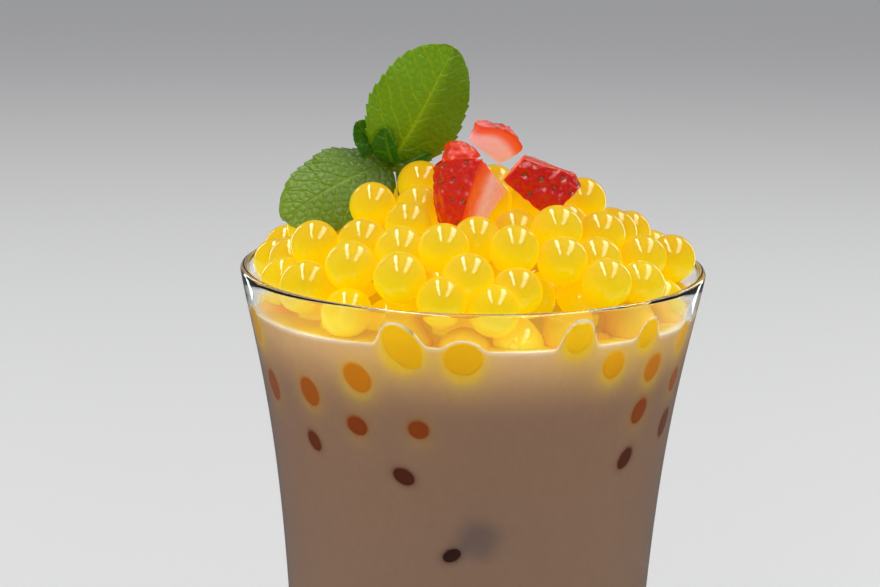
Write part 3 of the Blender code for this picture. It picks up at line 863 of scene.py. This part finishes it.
def milk_colours(angles, heights, edges):
    """A colour for each point of the milk's outer surface."""
    below = (GLASS_HEIGHT - heights) / MM
    under_edge = (edges - heights) / MM
    colours = mix(WARM, MILK, smoothstep(7.0, 20.0, below))
    colours = mix(colours, DEEP_MILK, smoothstep(20.0, 60.0, below))
    reach = inner_radius(heights)
    for k, depth in enumerate(discs[:, 0]):
        across = turn_from(disc_angles[k], angles) * reach
        up = heights - disc_heights[k]
        along, beside = rotated(across, up, -disc_lean[k])
        oval = np.hypot(along / disc_stretch[k], beside * disc_stretch[k])
        outside = np.maximum(oval - disc_radii[k], 0.0) / MM
        droop = np.maximum(np.hypot(across, up + 1.3 * MM) - disc_radii[k], 0.0) / MM
        lit = math.exp(-((depth / LIT_DEPTH) ** 2))
        own = disc_colour(depth)
        colours = mix(colours, GLOW, 0.95 * lit * np.exp(-np.minimum(outside, droop) / GLOW_REACH))
        colours = mix(colours, own, 0.3 * (1 - lit) * line_share(outside, HALO))
        colours = mix(colours, own, 0.8 * line_share(outside, RIM_BLUR))
    colours = mix(colours, ICE, 0.8 * ice_share(angles, below))
    return mix(colours, CREAM, 0.9 * line_share(np.maximum(under_edge, 0.0), CREAM_LINE))


# %% Build the milk
OUTER_ROWS = 100
LOW_ROWS = 24
# Close rows reach below the deepest disc, and rings on the top lie so many mm in from the wall
CLOSE_ROWS_TO = GLASS_HEIGHT - 52 * MM
TOP_STEPS = (41.0, 24.0, 12.0, 6.0, 3.5, 2.2, 1.5, 1.1, 0.8, 0.5, 0.25)


def milk_mesh():
    """The painted drink: rings over its top, down the wall and round the glass's inner corner."""
    upper = np.linspace(0.0, 1.0, OUTER_ROWS) ** 1.3
    lower = np.linspace(0.0, 1.0, LOW_ROWS)[1:]
    corner_height = FLOOR_THICKNESS + INNER_CORNER
    rows = [edge + (CLOSE_ROWS_TO - edge) * share for share in upper]
    rows += [np.full(TEA_COLUMNS, CLOSE_ROWS_TO + (corner_height - CLOSE_ROWS_TO) * share)
             for share in lower]
    wall_heights = np.array(rows)
    wall_radius = inner_radius(wall_heights) + INTO_WALL
    inward = np.array(TOP_STEPS)[:, None] * MM
    top_radius = wall_radius[0] - inward
    top_heights = TEA_LEVEL + (edge - TEA_LEVEL) * np.exp(-inward / (0.5 * MM))
    corner = arc(float(inner_radius(corner_height)) - INNER_CORNER, corner_height,
                 INNER_CORNER + INTO_WALL, 0, -90, 10)[1:]
    ones = np.ones(TEA_COLUMNS)
    radius = np.concatenate([top_radius, wall_radius, [r * ones for r, _ in corner]])
    height = np.concatenate([top_heights, wall_heights, [z * ones for _, z in corner]])
    x = radius * np.cos(column_angles)
    y = radius * np.sin(column_angles)
    points = np.stack([x, y, height], axis=-1)
    here = np.arange(TEA_COLUMNS)
    faces = ring_faces(len(points), TEA_COLUMNS).tolist()
    faces += [here, (len(points) - 1) * TEA_COLUMNS + here[::-1]]
    angles = np.tile(column_angles, len(points))
    edges = np.tile(edge, len(points))
    colours = milk_colours(angles, height.ravel(), edges)
    off_wall = (inner_radius(height) - radius).ravel() / MM
    on_top = smoothstep(0.2, 0.9, off_wall) * (height.ravel() > TEA_LEVEL - 2 * MM)
    mesh = mesh_from("milk_tea_body", points.reshape(-1, 3), faces)
    paint(mesh, "milk", mix(colours, PEARL_LIGHT, on_top))
    return mesh


def milk_material():
    """Painted milk with faint swirls and little gloss of its own."""
    material, tree, shader = new_material(
        "milk tea",
        Roughness=0.4,
        IOR=1.34,
        Specular_IOR_Level=0.1,
        Subsurface_Weight=0.15,
        Subsurface_Radius=(0.0016, 0.0010, 0.0006),
    )
    swirls = dict(Scale=60.0, Detail=4.0, Distortion=0.6)
    toned = clouded(tree, painted(tree, "milk"), 0.93, 1.06, **swirls)
    tree.links.new(toned, shader.inputs["Base Color"])
    return material


add_piece("milk_tea_body", milk_mesh(), milk_material(), "milk_tea", "milk_tea")

# %% [markdown]
# The discs themselves are real balls, flattened where they press on the glass. Painted spots in the
# milk would look soft and flat, so each ball stands a hair proud of the milk with a crisp rim, and
# the milk round it carries the glow.

# %% Balls pressed to the wall
PROUD = 0.11 * MM
BALL_RINGS = 14
BALL_STEPS = 48
BARE_PEARL = linear(250, 196, 4)


def pressed_ball(k):
    """(points, colours) of a ball flattened on the wall, ring by ring from the middle of its flat."""
    flat = math.asin(disc_radii[k] / PEARL_RADIUS)
    rest = np.linspace(flat, math.pi, BALL_RINGS)[1:]
    polar = np.concatenate([flat * np.array((1e-3, 0.4, 0.8, 1.0)), rest])[:, None]
    turn = np.arange(BALL_STEPS) * math.tau / BALL_STEPS
    along = np.sin(polar) * np.cos(turn) * disc_stretch[k]
    beside = np.sin(polar) * np.sin(turn) / disc_stretch[k]
    across, up = rotated(along, beside, disc_lean[k])
    z = np.minimum(disc_heights[k] + up * PEARL_RADIUS, TEA_LEVEL + 4.4 * MM)
    wall = inner_radius(z) + INTO_WALL + PROUD
    middle = float(inner_radius(disc_heights[k])) - PEARL_RADIUS * math.cos(flat)
    x, y = rotated(middle + PEARL_RADIUS * np.cos(polar), across * PEARL_RADIUS, disc_angles[k])
    fit = wall / np.hypot(x, y)
    fit = np.where(polar <= flat, fit, np.minimum(fit, 1.0))
    points = np.stack([x * fit, y * fit, z], axis=-1).reshape(-1, 3)
    bare = smoothstep(TEA_LEVEL, TEA_LEVEL + MM, z) * (polar > 1.05 * flat)
    return points, mix(disc_colour(discs[k, 0]), BARE_PEARL, bare.ravel())


def wall_pearl_mesh():
    """All the balls at the wall as one mesh, sharp where a flat meets its ball."""
    made = [pressed_ball(k) for k in range(len(discs))]
    count = len(made[0][0])
    quads = np.roll(ring_faces(count // BALL_STEPS, BALL_STEPS), -1, axis=1)
    ring = np.arange(BALL_STEPS)
    faces = []
    for start in range(0, len(made) * count, count):
        faces += (quads + start).tolist()
        faces += [ring + start, start + count - 1 - ring]
    mesh = mesh_from("wall_pearls", np.concatenate([points for points, _ in made]), faces)
    mesh.set_sharp_from_angle(angle=math.radians(12))
    paint(mesh, "tone", np.concatenate([colours for _, colours in made]))
    return mesh


def wall_pearl_material():
    """The painted colour alone, since glass and not air lies on the gel."""
    material, tree, shader = new_material(
        "pearl behind milk", Roughness=0.4, IOR=1.36, Specular_IOR_Level=0.1
    )
    tree.links.new(painted(tree, "tone"), shader.inputs["Base Color"])
    return material


add_piece("wall_pearls", wall_pearl_mesh(), wall_pearl_material(), "yellow_pearl", "milk_tea")

# %% [markdown]
# ## Strawberry
# The fruit is cut in small wedges: glossy dark red skin with seeds in pits on one side, wet flesh on
# the others, orange red under the skin and pale pink towards the heart. The whole berry is turned
# from a curve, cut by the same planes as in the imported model, and then remeshed into small even
# faces, so that the cut edges round off and the skin can be pitted point by point.

# %% Form of a strawberry piece
BERRY_LENGTH = 25 * MM
BERRY_RADIUS = 10 * MM
BERRY_WIDEST = 16 * MM

# Middle of the wedge's box, where its tip points, where its skin faces, size of its berry, the
# stretch it was cut from (mm from the tip), its opening angle and slant in degrees, the trims
# (direction seen from the front in degrees from +X, and mm from the middle), how bright its skin
# and how pale its flesh is
BERRY_PIECES = {
    "strawberry_front": dict(
        place=(-0.9, -11.2, 13.1), tip=(-0.51, -0.58, -0.63), skin=(-0.81, -0.55, 0.21),
        size=1.60, start=0.9, end=17.1, opening=67, slant=20, trims=((283, 4.8),),
        bright=0.30, pale=0.50,
    ),
    "strawberry_right": dict(
        place=(12.9, -7.0, 16.2), tip=(0.76, -0.14, -0.63), skin=(0.52, -0.85, 0.07),
        size=0.94, start=0.0, end=17.4, opening=83, slant=5, trims=((71, 3.6), (311, 4.9)),
        bright=0.10, pale=0.60,
    ),
    "strawberry_top": dict(
        place=(3.9, 1.6, 22.4), tip=(-0.58, -0.63, 0.51), skin=(-0.02, -0.40, 0.91),
        size=0.67, start=2.5, end=13.8, opening=43, slant=-10, trims=((58, 6.7),),
        bright=0.60, pale=1.30,
    ),
    "strawberry_left": dict(
        place=(-2.4, -0.6, 20.2), tip=(-0.58, -0.80, -0.12), skin=(-0.21, -0.62, 0.75),
        size=0.65, start=1.1, end=6.3, opening=97, slant=7, trims=(),
        bright=1.00, pale=0.30,
    ),
    "strawberry_back": dict(
        place=(-5.0, 6.8, 17.1), tip=(-0.9, 0.1, 0.25), skin=(-0.3, -0.8, 0.5),
        size=0.8, start=0.5, end=5.5, opening=64, slant=0, trims=(),
        bright=0.10, pale=0.30,
    ),
}


def berry_radius(along):
    """Radius of a whole strawberry at a distance from its tip."""
    if along < BERRY_WIDEST:
        return BERRY_RADIUS * (1 - (1 - along / BERRY_WIDEST) ** 2) ** 0.6
    past = (along - BERRY_WIDEST) / (BERRY_LENGTH - BERRY_WIDEST)
    return BERRY_RADIUS * math.sqrt(max(1 - past**2, 0.0))


def skin_radius(angle, along):
    """Radius of the berry's skin, a little lumpy round about."""
    lumps = 1 + 0.025 * math.sin(3 * angle + 1.3) + 0.02 * math.cos(5 * angle + 400 * along)
    return berry_radius(along) * lumps


def axes_from(main, side):
    """A rotation whose Z runs along main and whose X leans to side."""
    z = Vector(main).normalized()
    x = Vector(side)
    x = (x - z * x.dot(z)).normalized()
    return Matrix((x, z.cross(x), z)).transposed().to_4x4()


def berry_cuts(start, end, opening, slant):
    """(point, outward direction) of each knife cut that leaves one piece of the berry."""
    half = math.radians(opening) / 2
    lean = math.radians(slant)
    return (
        ((0, 0, 0), (-math.sin(half), math.cos(half), 0)),
        ((0, 0, 0), (-math.sin(half), -math.cos(half), 0)),
        ((0, 0, start), (0, 0, -1)),
        ((0, 0, end), (math.sin(lean), 0, math.cos(lean))),
    )


# %% Cut and remesh a piece
FLESH_VOXEL = 0.24 * MM
ROUNDING_PASSES = 9


def cut_away(shape, point, outward):
    """Cuts off what lies beyond a plane and closes the cut."""
    geometry = list(shape.verts) + list(shape.edges) + list(shape.faces)
    plane = {"plane_co": point, "plane_no": outward}
    cut = bmesh.ops.bisect_plane(shape, geom=geometry, clear_outer=True, **plane)
    edges = [e for e in cut["geom_cut"] if isinstance(e, bmesh.types.BMEdge)]
    bmesh.ops.holes_fill(shape, edges=edges)


def cut_berry(name, size, cuts, turn, trims):
    """(wedge of small even faces in the berry's own axes, its middle once turned, all its cuts)."""
    shape = bmesh.new()
    bmesh.ops.create_uvsphere(shape, u_segments=96, v_segments=64, radius=1.0)
    for v in shape.verts:
        angle = math.atan2(v.co.y, v.co.x)
        along = (1 + v.co.z) / 2 * BERRY_LENGTH
        radius = skin_radius(angle, along) if abs(v.co.z) < 0.9999 else 0.0
        v.co = Vector((radius * math.cos(angle), radius * math.sin(angle), along)) * size
    for point, outward in cuts:
        cut_away(shape, point, outward)
    turned = np.array([turn @ v.co for v in shape.verts])
    middle = Vector((turned.min(axis=0) + turned.max(axis=0)) / 2)
    for angle, reach in trims:
        outward = Vector((math.cos(math.radians(angle)), 0, math.sin(math.radians(angle))))
        cuts += (((turn.inverted() @ (middle + outward * reach * MM)), turn.inverted() @ outward),)
        cut_away(shape, *cuts[-1])
    bmesh.ops.triangulate(shape, faces=shape.faces)
    bmesh.ops.recalc_face_normals(shape, faces=shape.faces)
    mesh = bpy.data.meshes.new(name)
    shape.to_mesh(mesh)
    shape.free()
    rough = bpy.data.objects.new(name + "_rough", mesh)
    bpy.context.scene.collection.objects.link(rough)
    even = rough.modifiers.new("even faces", "REMESH")
    even.mode = "VOXEL"
    even.voxel_size = FLESH_VOXEL
    rounded = rough.modifiers.new("rounded edges", "SMOOTH")
    rounded.factor = 0.5
    rounded.iterations = ROUNDING_PASSES
    bpy.context.view_layer.update()
    graph = bpy.context.evaluated_depsgraph_get()
    made = bpy.data.meshes.new_from_object(rough.evaluated_get(graph))
    bpy.data.objects.remove(rough, do_unlink=True)
    return made, middle, cuts


def depths_in(points, size, cuts):
    """For each point: its depth under the skin and inside the two nearest cuts, and the way the
    nearest one faces."""
    under_skin = []
    for x, y, z in points:
        along = min(max(z / size, 0.0), BERRY_LENGTH)
        angle = math.atan2(y, x)
        under_skin.append(skin_radius(angle, along) * size - math.hypot(x, y))
    inside = np.array([-(points - np.array(at)) @ np.array(out) for at, out in cuts])
    by_cut = np.sort(inside, axis=0)
    facing = np.array([out for _, out in cuts])[inside.argmin(axis=0)]
    return np.array(under_skin), by_cut[0], by_cut[1], facing


# %% Pits, seeds and flesh colours
SEED_ROW = 2.9 * MM
SEED_STEP = 3.1 * MM
PIT_DEPTH = 0.60 * MM
PIT_RADIUS = 0.70 * MM
PUFF = 0.50 * MM
GRAIN = 0.30 * MM
SKIN_DARK = linear(198, 2, 1)
SKIN_BRIGHT = linear(236, 52, 16)
UNDER_SKIN = linear(236, 54, 14)
FLESH = linear(250, 94, 58)
HEART = linear(255, 200, 208)
SEED_BROWN = linear(104, 60, 14)
SEED_STRAW = linear(156, 112, 36)
SEED_SIZE = np.array((0.22, 0.26, 0.44)) * MM


def seed_places(size):
    """(place, outward direction) of the seeds on a whole berry, staggered row by row."""
    places = []
    rows = int(BERRY_LENGTH * size / SEED_ROW)
    for row in range(1, rows):
        along = row * SEED_ROW / size
        around = berry_radius(along)
        count = max(int(math.tau * around * size / SEED_STEP), 1)
        for k in range(count):
            angle = math.tau * (k + 0.5 * (row % 2)) / count + 0.2 * math.sin(5 * k + row)
            radius = skin_radius(angle, along)
            ahead = (berry_radius(along + 0.4 * MM) - around) / (0.4 * MM)
            place = Vector((radius * math.cos(angle), radius * math.sin(angle), along)) * size
            outward = Vector((math.cos(angle), math.sin(angle), -ahead)).normalized()
            places.append((place, outward))
    return places


def berry_colours(points, under_skin, skin_share, bright, pale):
    """Skin, then orange red, pink and pale heart with the fibres that run out to the seeds."""
    deep = under_skin / MM
    skin = mix(np.tile(SKIN_DARK, (len(points), 1)), SKIN_BRIGHT, np.full(len(points), bright))
    fibre = np.array([noise.noise(Vector((6 * math.atan2(y, x), z / (3.5 * MM), 3.0)))
                      for x, y, z in points])
    reach = 1.4 / pale
    flesh = mix(UNDER_SKIN, FLESH, smoothstep(0.1 * reach, 1.2 * reach, deep + 0.35 * fibre))
    flesh = mix(flesh, HEART, smoothstep(1.3 * reach, 3.1 * reach, deep + 0.6 * fibre))
    return mix(flesh, skin, skin_share)


def seed_mesh(kept):
    """Small drop-shaped seeds lying in their pits."""
    points, faces = unit_ball(2)
    points = points * SEED_SIZE
    points[:, :2] *= 1 - 0.45 * np.clip(points[:, 2:] / SEED_SIZE[2], -1, 1)
    made_points, made_faces = [], []
    for turn in kept:
        start = len(made_points) * len(points)
        made_points.append(points @ np.array(turn.to_3x3()).T + np.array(turn.translation))
        made_faces.append(faces + start)
    return mesh_from("strawberry_seeds", np.concatenate(made_points), np.concatenate(made_faces))


# %% Build the strawberry pieces
def build_berry(name, place, tip, skin, size, start, end, opening, slant, trims, bright, pale):
    """One pitted and painted wedge, and the placements of its seeds."""
    turn = axes_from(-Vector(tip), skin)
    cuts = berry_cuts(start * MM, end * MM, opening, slant)
    mesh, middle, cuts = cut_berry(name, size, cuts, turn, trims)
    points = np.array([v.co for v in mesh.vertices])
    normals = np.array([v.normal for v in mesh.vertices])
    under_skin, under_cut, under_next, facing = depths_in(points, size, cuts)
    skin_share = smoothstep(-0.25 * MM, 0.35 * MM, under_cut - under_skin)
    seeds = seed_places(size)
    nearest = np.min([np.linalg.norm(points - np.array(at), axis=1) for at, _ in seeds], axis=0)
    pit = -PIT_DEPTH * line_share(nearest, PIT_RADIUS)
    coarse, fine = noise_at(points, 1.5 * MM), noise_at(points, 0.8 * MM)
    puffed = pit + (PUFF * (coarse - 0.5) + GRAIN * fine) * (1 - line_share(nearest, MM))
    torn = (0.22 * coarse + 0.05 * fine - 0.10) * MM
    inner = np.minimum(under_next, under_skin)
    level = smoothstep(0.5 * MM, 0.2 * MM, under_cut) * smoothstep(0.3 * MM, 0.9 * MM, inner)
    moved = points + facing * (under_cut * level)[:, None]
    moved += normals * (skin_share * puffed + (1 - skin_share) * torn)[:, None]
    colours = berry_colours(points, under_skin, skin_share, bright, pale)
    # Painted shade: the skin is darkened in a ring round each seed, down in its pit
    shade = 1 - 0.45 * line_share(nearest, 0.45 * MM) * skin_share
    shift = np.array(from_rim(place) - middle)
    placed = moved @ np.array(turn.to_3x3()).T + shift
    placed = np.clip(placed, *np.array(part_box(name)))
    mesh.vertices.foreach_set("co", placed.astype(np.float32).ravel())
    mesh.shade_smooth()
    paint(mesh, "flesh", colours * shade[:, None])
    kept = []
    for at, outward in seeds:
        inside = min(-(at - Vector(p)).dot(Vector(out)) for p, out in cuts)
        if inside > 0.5 * MM:
            sunk = at - outward * PIT_DEPTH
            lie = Matrix.Translation(sunk) @ axes_from((0, 0, 1), outward)
            kept.append(Matrix.Translation(shift) @ turn @ lie)
    return mesh, kept


def berry_material():
    """Wet fruit: a sharp clear coat over painted flesh that light sinks into, with a faint painted
    glow in the flesh's own colour.
    """
    material, tree, shader = new_material(
        "wet strawberry",
        Roughness=0.15,
        IOR=1.38,
        Subsurface_Weight=0.35,
        Subsurface_Radius=(0.0022, 0.0006, 0.0004),
        Coat_Weight=0.7,
        Coat_Roughness=0.03,
        # Painted glow: the fruit gives off a little light in its painted colour
        Emission_Strength=0.14,
    )
    colour = painted(tree, "flesh")
    grain = add_node(tree, "ShaderNodeTexNoise", Scale=1500.0, Detail=3.0)
    bump = add_node(tree, "ShaderNodeBump", Strength=0.25, Distance=0.0004)
    link = tree.links.new
    link(colour, shader.inputs["Base Color"])
    link(colour, shader.inputs["Emission Color"])
    link(grain.outputs["Fac"], bump.inputs["Height"])
    link(bump.outputs["Normal"], shader.inputs["Normal"])
    return material


def seed_material():
    """Seeds from brown to straw yellow."""
    material, tree, shader = new_material("strawberry seed", Roughness=0.35, IOR=1.45)
    tint = add_node(tree, "ShaderNodeTexNoise", Scale=300.0)
    ramp = add_node(tree, "ShaderNodeMix", data_type="RGBA", A=(*SEED_BROWN, 1), B=(*SEED_STRAW, 1))
    tree.links.new(tint.outputs["Fac"], ramp.inputs["Factor"])
    tree.links.new(ramp.outputs["Result"], shader.inputs["Base Color"])
    return material


wet_strawberry = berry_material()
seed_turns = []
for name, cut in BERRY_PIECES.items():
    mesh, kept = build_berry(name, **cut)
    add_piece(name + "_flesh", mesh, wet_strawberry, "strawberry", name)
    seed_turns += kept
add_piece("strawberry_seeds", seed_mesh(seed_turns), seed_material(), "strawberry", *BERRIES)
print("seeds:", len(seed_turns))

# %% [markdown]
# ## Mint
# A sprig of two large leaves and three small curled ones on a short stem. A mint leaf has a
# saw-toothed edge, a pale midrib with curved side veins, and a fine net between them over which the
# blade swells like a quilt. Displacement in a shader would be lost on export, so the net is pressed
# into the mesh: cells from a seeded scatter give the swellings, and the veins between them stay low.

# %% Outline and sheet of a leaf
LEAF_TEETH = 12
TOOTH_DEPTH = 0.055
SHEET_THICKNESS = 0.32 * MM
STEM_RADIUS = 1.0 * MM
PETIOLE_RADIUS = 0.6 * MM
SPRIG_NODE = (-14.2, 7.4, 16.6)
STEM_END = (-13.4, 7.0, 10.6)

# Where the blade starts, where it points and faces, its size in mm, and how much of that size it is
# arched, cupped and rippled
MINT_LEAVES = {
    "upright": dict(
        base=(-16.0, 7.6, 17.3), tip=(0.46, 0.02, 0.89), face=(0.46, -0.87, 0.12),
        length=25.5, width=20.6, arch=0.05, cup=-0.10, ripple=0.02,
    ),
    "low": dict(
        base=(-16.2, 5.6, 17.7), tip=(-0.80, -0.46, -0.38), face=(0.02, -0.80, 0.60),
        length=24.0, width=17.4, arch=0.10, cup=-0.10, ripple=0.03,
    ),
    "bud_left": dict(
        base=(-15.8, 7.0, 17.6), tip=(-0.62, -0.12, 0.72), face=(0.35, -0.9, 0.1),
        length=10.5, width=7.5, arch=-0.05, cup=0.20, ripple=0.03,
    ),
    "bud_middle": dict(
        base=(-15.2, 6.0, 17.6), tip=(-0.22, -0.22, 0.94), face=(-0.5, -0.8, -0.1),
        length=7.5, width=6.0, arch=0.08, cup=0.22, ripple=0.02,
    ),
    "bud_right": dict(
        base=(-13.1, 7.6, 16.9), tip=(0.80, 0.45, 0.35), face=(-0.3, -0.6, 0.7),
        length=6.0, width=4.5, arch=0.08, cup=0.15, ripple=0.02,
    ),
}


def leaf_half_width(along, width):
    """Half the leaf's width along its length, with forward-leaning saw teeth."""
    blade = np.sin(math.pi * along**0.88) ** 0.48
    tooth = (along * LEAF_TEETH) % 1.0
    middle = width / 2 * blade * (1 - TOOTH_DEPTH * (1 - tooth))
    return np.where((along <= 0.0) | (along >= 1.0), 0.06 * width * (1 - along), middle)


def leaf_sheet(along, across, length, width, arch, cup, ripple):
    """Points of the bare sheet: Y runs to its tip, X across it, and Z up from its face."""
    x = across * leaf_half_width(along, width)
    rise = 4 * arch * length * along * (1 - along)
    trough = cup * width * np.abs(across) ** 1.5 * np.sin(math.pi * along) ** 0.5
    wave = ripple * width * across**2 * np.sin(2.6 * math.tau * along + 1.7 * across)
    return np.stack([x, along * length, rise + trough + wave], axis=-1)


# %% Veins and quilting of a leaf
VEIN_SPACING = 3.3 * MM
VEIN_LEAN = 0.62
CELL = 1.5 * MM
QUILT = 0.22 * MM
LEAF_SEED = 17


def vein_pattern(x, y, length, width, draw):
    """(main veins, fine net, swelling) for points of a leaf in its own plane, each 0 to 1."""
    out = np.abs(x)
    midrib = line_share(out, 0.38 * MM * (1.15 - y / length))
    lean = VEIN_LEAN * out + 0.045 / MM * out**2 + 0.25 * MM * np.sin(out / (0.9 * MM) + y / (2 * MM))
    side = np.where(x < 0, 0.35, 0.0)
    phase = (y - lean) / VEIN_SPACING + side
    nearest = np.abs(phase - np.round(phase)) * VEIN_SPACING
    reach = 1 - smoothstep(0.80, 1.0, out / (width / 2 + 1e-9))
    branch = line_share(nearest, 0.20 * MM) * reach * (np.round(phase) > 0)
    steps_x = np.arange(-width / 2, width / 2 + CELL, CELL)
    steps_y = np.arange(0, length + CELL, CELL * 0.9)
    centres = np.array([(a + 0.5 * CELL * (j % 2), b) for j, b in enumerate(steps_y) for a in steps_x])
    centres = centres + draw.uniform(-0.32, 0.32, centres.shape) * CELL
    apart = np.hypot(x[:, None] - centres[None, :, 0], y[:, None] - centres[None, :, 1])
    closest = np.partition(apart, 1, axis=1)[:, :2]
    between = closest[:, 1] - closest[:, 0]
    net = line_share(between, 0.20 * MM)
    swelling = (1 - np.exp(-between / (0.45 * MM))) * (1 - midrib) * (1 - 0.8 * branch)
    return np.maximum(midrib, 0.75 * branch), net, swelling


# %% Build a leaf
LEAF_GREENS = {
    "upright": (linear(116, 160, 4), linear(166, 202, 20)),
    "low": (linear(100, 132, 4), linear(140, 168, 24)),
}
BUD_GREENS = (linear(52, 108, 2), linear(100, 150, 16))
LARGE_LEAF = 15
LARGE_GRID = (217, 81)
SMALL_GRID = (73, 33)
LEAF_SHEEN = linear(158, 182, 70)
PALER_BELOW = 0.3


def grid_faces(rows, columns):
    """Faces of a grid of points, and the order of the points round its border."""
    index = np.arange(rows * columns).reshape(rows, columns)
    corners = [index[:-1, :-1], index[:-1, 1:], index[1:, 1:], index[1:, :-1]]
    faces = np.stack(corners, axis=-1).reshape(-1, 4)
    border = np.concatenate([index[0, :-1], index[:-1, -1], index[-1, :0:-1], index[:0:-1, 0]])
    return faces, border


def leaf_colours(name, along, across, line, swelling):
    """Colours of the upper side and then the underside: blade with painted light on the swellings and
    painted shade in the hollows, paler veins, a painted sheen towards the low leaf's tip, and painted
    shade at the leaves' bases and down one side of the upright leaf.
    """
    blade, light = LEAF_GREENS.get(name, BUD_GREENS)
    # Painted light and shade: the swellings lighter and the hollows between them darker
    colours = mix(blade * 0.8, blade * 1.15, swelling)
    colours = mix(colours, light, line)
    if name == "low":
        # Painted sheen: a whitish gloss towards the low leaf's tip, strongest on the swellings
        colours = mix(colours, LEAF_SHEEN, 0.6 * smoothstep(0.45, 1.0, along) * (0.4 + 0.6 * swelling))
        # Painted shade: the low leaf darkens towards its base, under the leaves above it
        colours = mix(colours, blade * 0.5, 0.7 * smoothstep(0.45, 0.15, along))
    if name == "upright":
        # Painted shade: one half of the upright leaf is darker than the other
        colours = mix(colours, blade * 0.7, 0.7 * smoothstep(0.0, 0.3, across))
    # Painted shade: every leaf darkens at its base, where the leaves crowd the stem
    colours = mix(colours, blade * 0.6, 0.5 * smoothstep(0.16, 0.0, along))
    return np.concatenate([colours, mix(colours, light, np.full(len(along), PALER_BELOW))])


def build_leaf(name, base, tip, face, length, width, arch, cup, ripple):
    """(points, faces, colours) of one leaf with both sides and its edge."""
    large = length > LARGE_LEAF
    rows, columns = LARGE_GRID if large else SMALL_GRID
    share, side = np.meshgrid(np.linspace(0, 1, rows), np.linspace(-1, 1, columns), indexing="ij")
    along, across = share.ravel(), side.ravel()
    sheet = leaf_sheet(along, across, length * MM, width * MM, arch, cup, ripple)
    draw = np.random.RandomState(LEAF_SEED)
    veins, net, swelling = vein_pattern(sheet[:, 0], sheet[:, 1], length * MM, width * MM, draw)
    fade = smoothstep(1.0, 0.86, np.abs(across)) * smoothstep(0.0, 0.05, along)
    relief = QUILT * (swelling * fade - 0.8 * veins) * (1.0 if large else 0.6)
    top = sheet.copy()
    top[:, 2] += SHEET_THICKNESS / 2 + relief
    bottom = sheet.copy()
    bottom[:, 2] += relief * 0.8 - SHEET_THICKNESS / 2 - 0.12 * MM * veins
    faces, border = grid_faces(rows, columns)
    count = rows * columns
    rim = np.stack([border, np.roll(border, -1)], axis=1)
    walls = np.stack([rim[:, 1], rim[:, 0], rim[:, 0] + count, rim[:, 1] + count], axis=1)
    all_faces = np.concatenate([faces, faces[:, ::-1] + count, walls])
    main = Vector(tip).normalized()
    axes = axes_from(main, face).to_3x3()
    turn = np.array(Matrix((axes.col[1], main, axes.col[0])).transposed())
    points = np.concatenate([top, bottom]) @ turn.T + np.array(from_rim(base))
    line = np.clip(0.9 * veins + 0.35 * net * fade, 0, 1)
    return points, all_faces, leaf_colours(name, along, across, line, swelling)


def tube(places, radius, sides=16):
    """(points, faces) of a round stalk along a few points."""
    places = np.array(places)
    ahead = np.gradient(places, axis=0)
    ahead /= np.linalg.norm(ahead, axis=1)[:, None]
    side = np.cross(ahead, (0.3, 0.9, 0.2))
    side /= np.linalg.norm(side, axis=1)[:, None]
    up = np.cross(ahead, side)
    angles = np.arange(sides) * math.tau / sides
    rings = [p + radius * (np.outer(np.cos(angles), s) + np.outer(np.sin(angles), u))
             for p, s, u in zip(places, side, up)]
    here = np.arange(sides)
    faces = np.roll(ring_faces(len(places), sides)[:, ::-1], 1, axis=1).tolist()
    faces += [here[::-1], (len(places) - 1) * sides + here]
    return np.concatenate(rings), faces


def bowed(start, end, sag, steps=9):
    """Points from start to end along a shallow bow."""
    shares = np.linspace(0, 1, steps)[:, None]
    line = np.array(start) * (1 - shares) + np.array(end) * shares
    return line + np.array((0, 0, -sag)) * np.sin(math.pi * shares)


# %% Put the sprig together
STALK_GREEN = linear(96, 126, 24)


def mint_mesh():
    """All leaves on their stalks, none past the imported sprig's box."""
    parts = [build_leaf(name, **leaf) for name, leaf in MINT_LEAVES.items()]
    node = from_rim(SPRIG_NODE)
    stalks = [(bowed(from_rim(STEM_END), node + Vector((0, 0, MM)), 0.0), STEM_RADIUS)]
    for leaf in MINT_LEAVES.values():
        base = from_rim(leaf["base"])
        inside = base + Vector(leaf["tip"]).normalized() * 1.6 * MM
        stalks.append((bowed(node, inside, 0.2 * MM), PETIOLE_RADIUS))
    for path, radius in stalks:
        points, faces = tube(path, radius)
        parts.append((points, faces, np.tile(STALK_GREEN, (len(points), 1))))
    all_points, all_faces, all_colours = [], [], []
    start = 0
    for points, faces, colours in parts:
        all_points.append(points)
        all_faces += [[start + int(i) for i in face] for face in faces]
        all_colours.append(colours)
        start += len(points)
    inside = np.clip(np.concatenate(all_points), *np.array(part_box("mint_sprig")))
    mesh = mesh_from("mint_leaves", inside, all_faces)
    paint(mesh, "green", np.concatenate(all_colours))
    return mesh


def mint_material():
    """Satin leaf with a faint mottle."""
    material, tree, shader = new_material(
        "mint leaf",
        Roughness=0.42,
        IOR=1.42,
        Specular_IOR_Level=0.3,
        Subsurface_Weight=0.2,
        Subsurface_Radius=(0.0006, 0.0012, 0.0002),
    )
    toned = clouded(tree, painted(tree, "green"), 0.86, 1.12, Scale=500.0, Detail=3.0)
    tree.links.new(toned, shader.inputs["Base Color"])
    return material


add_piece("mint_leaves", mint_mesh(), mint_material(), "mint_leaf", "mint_sprig")
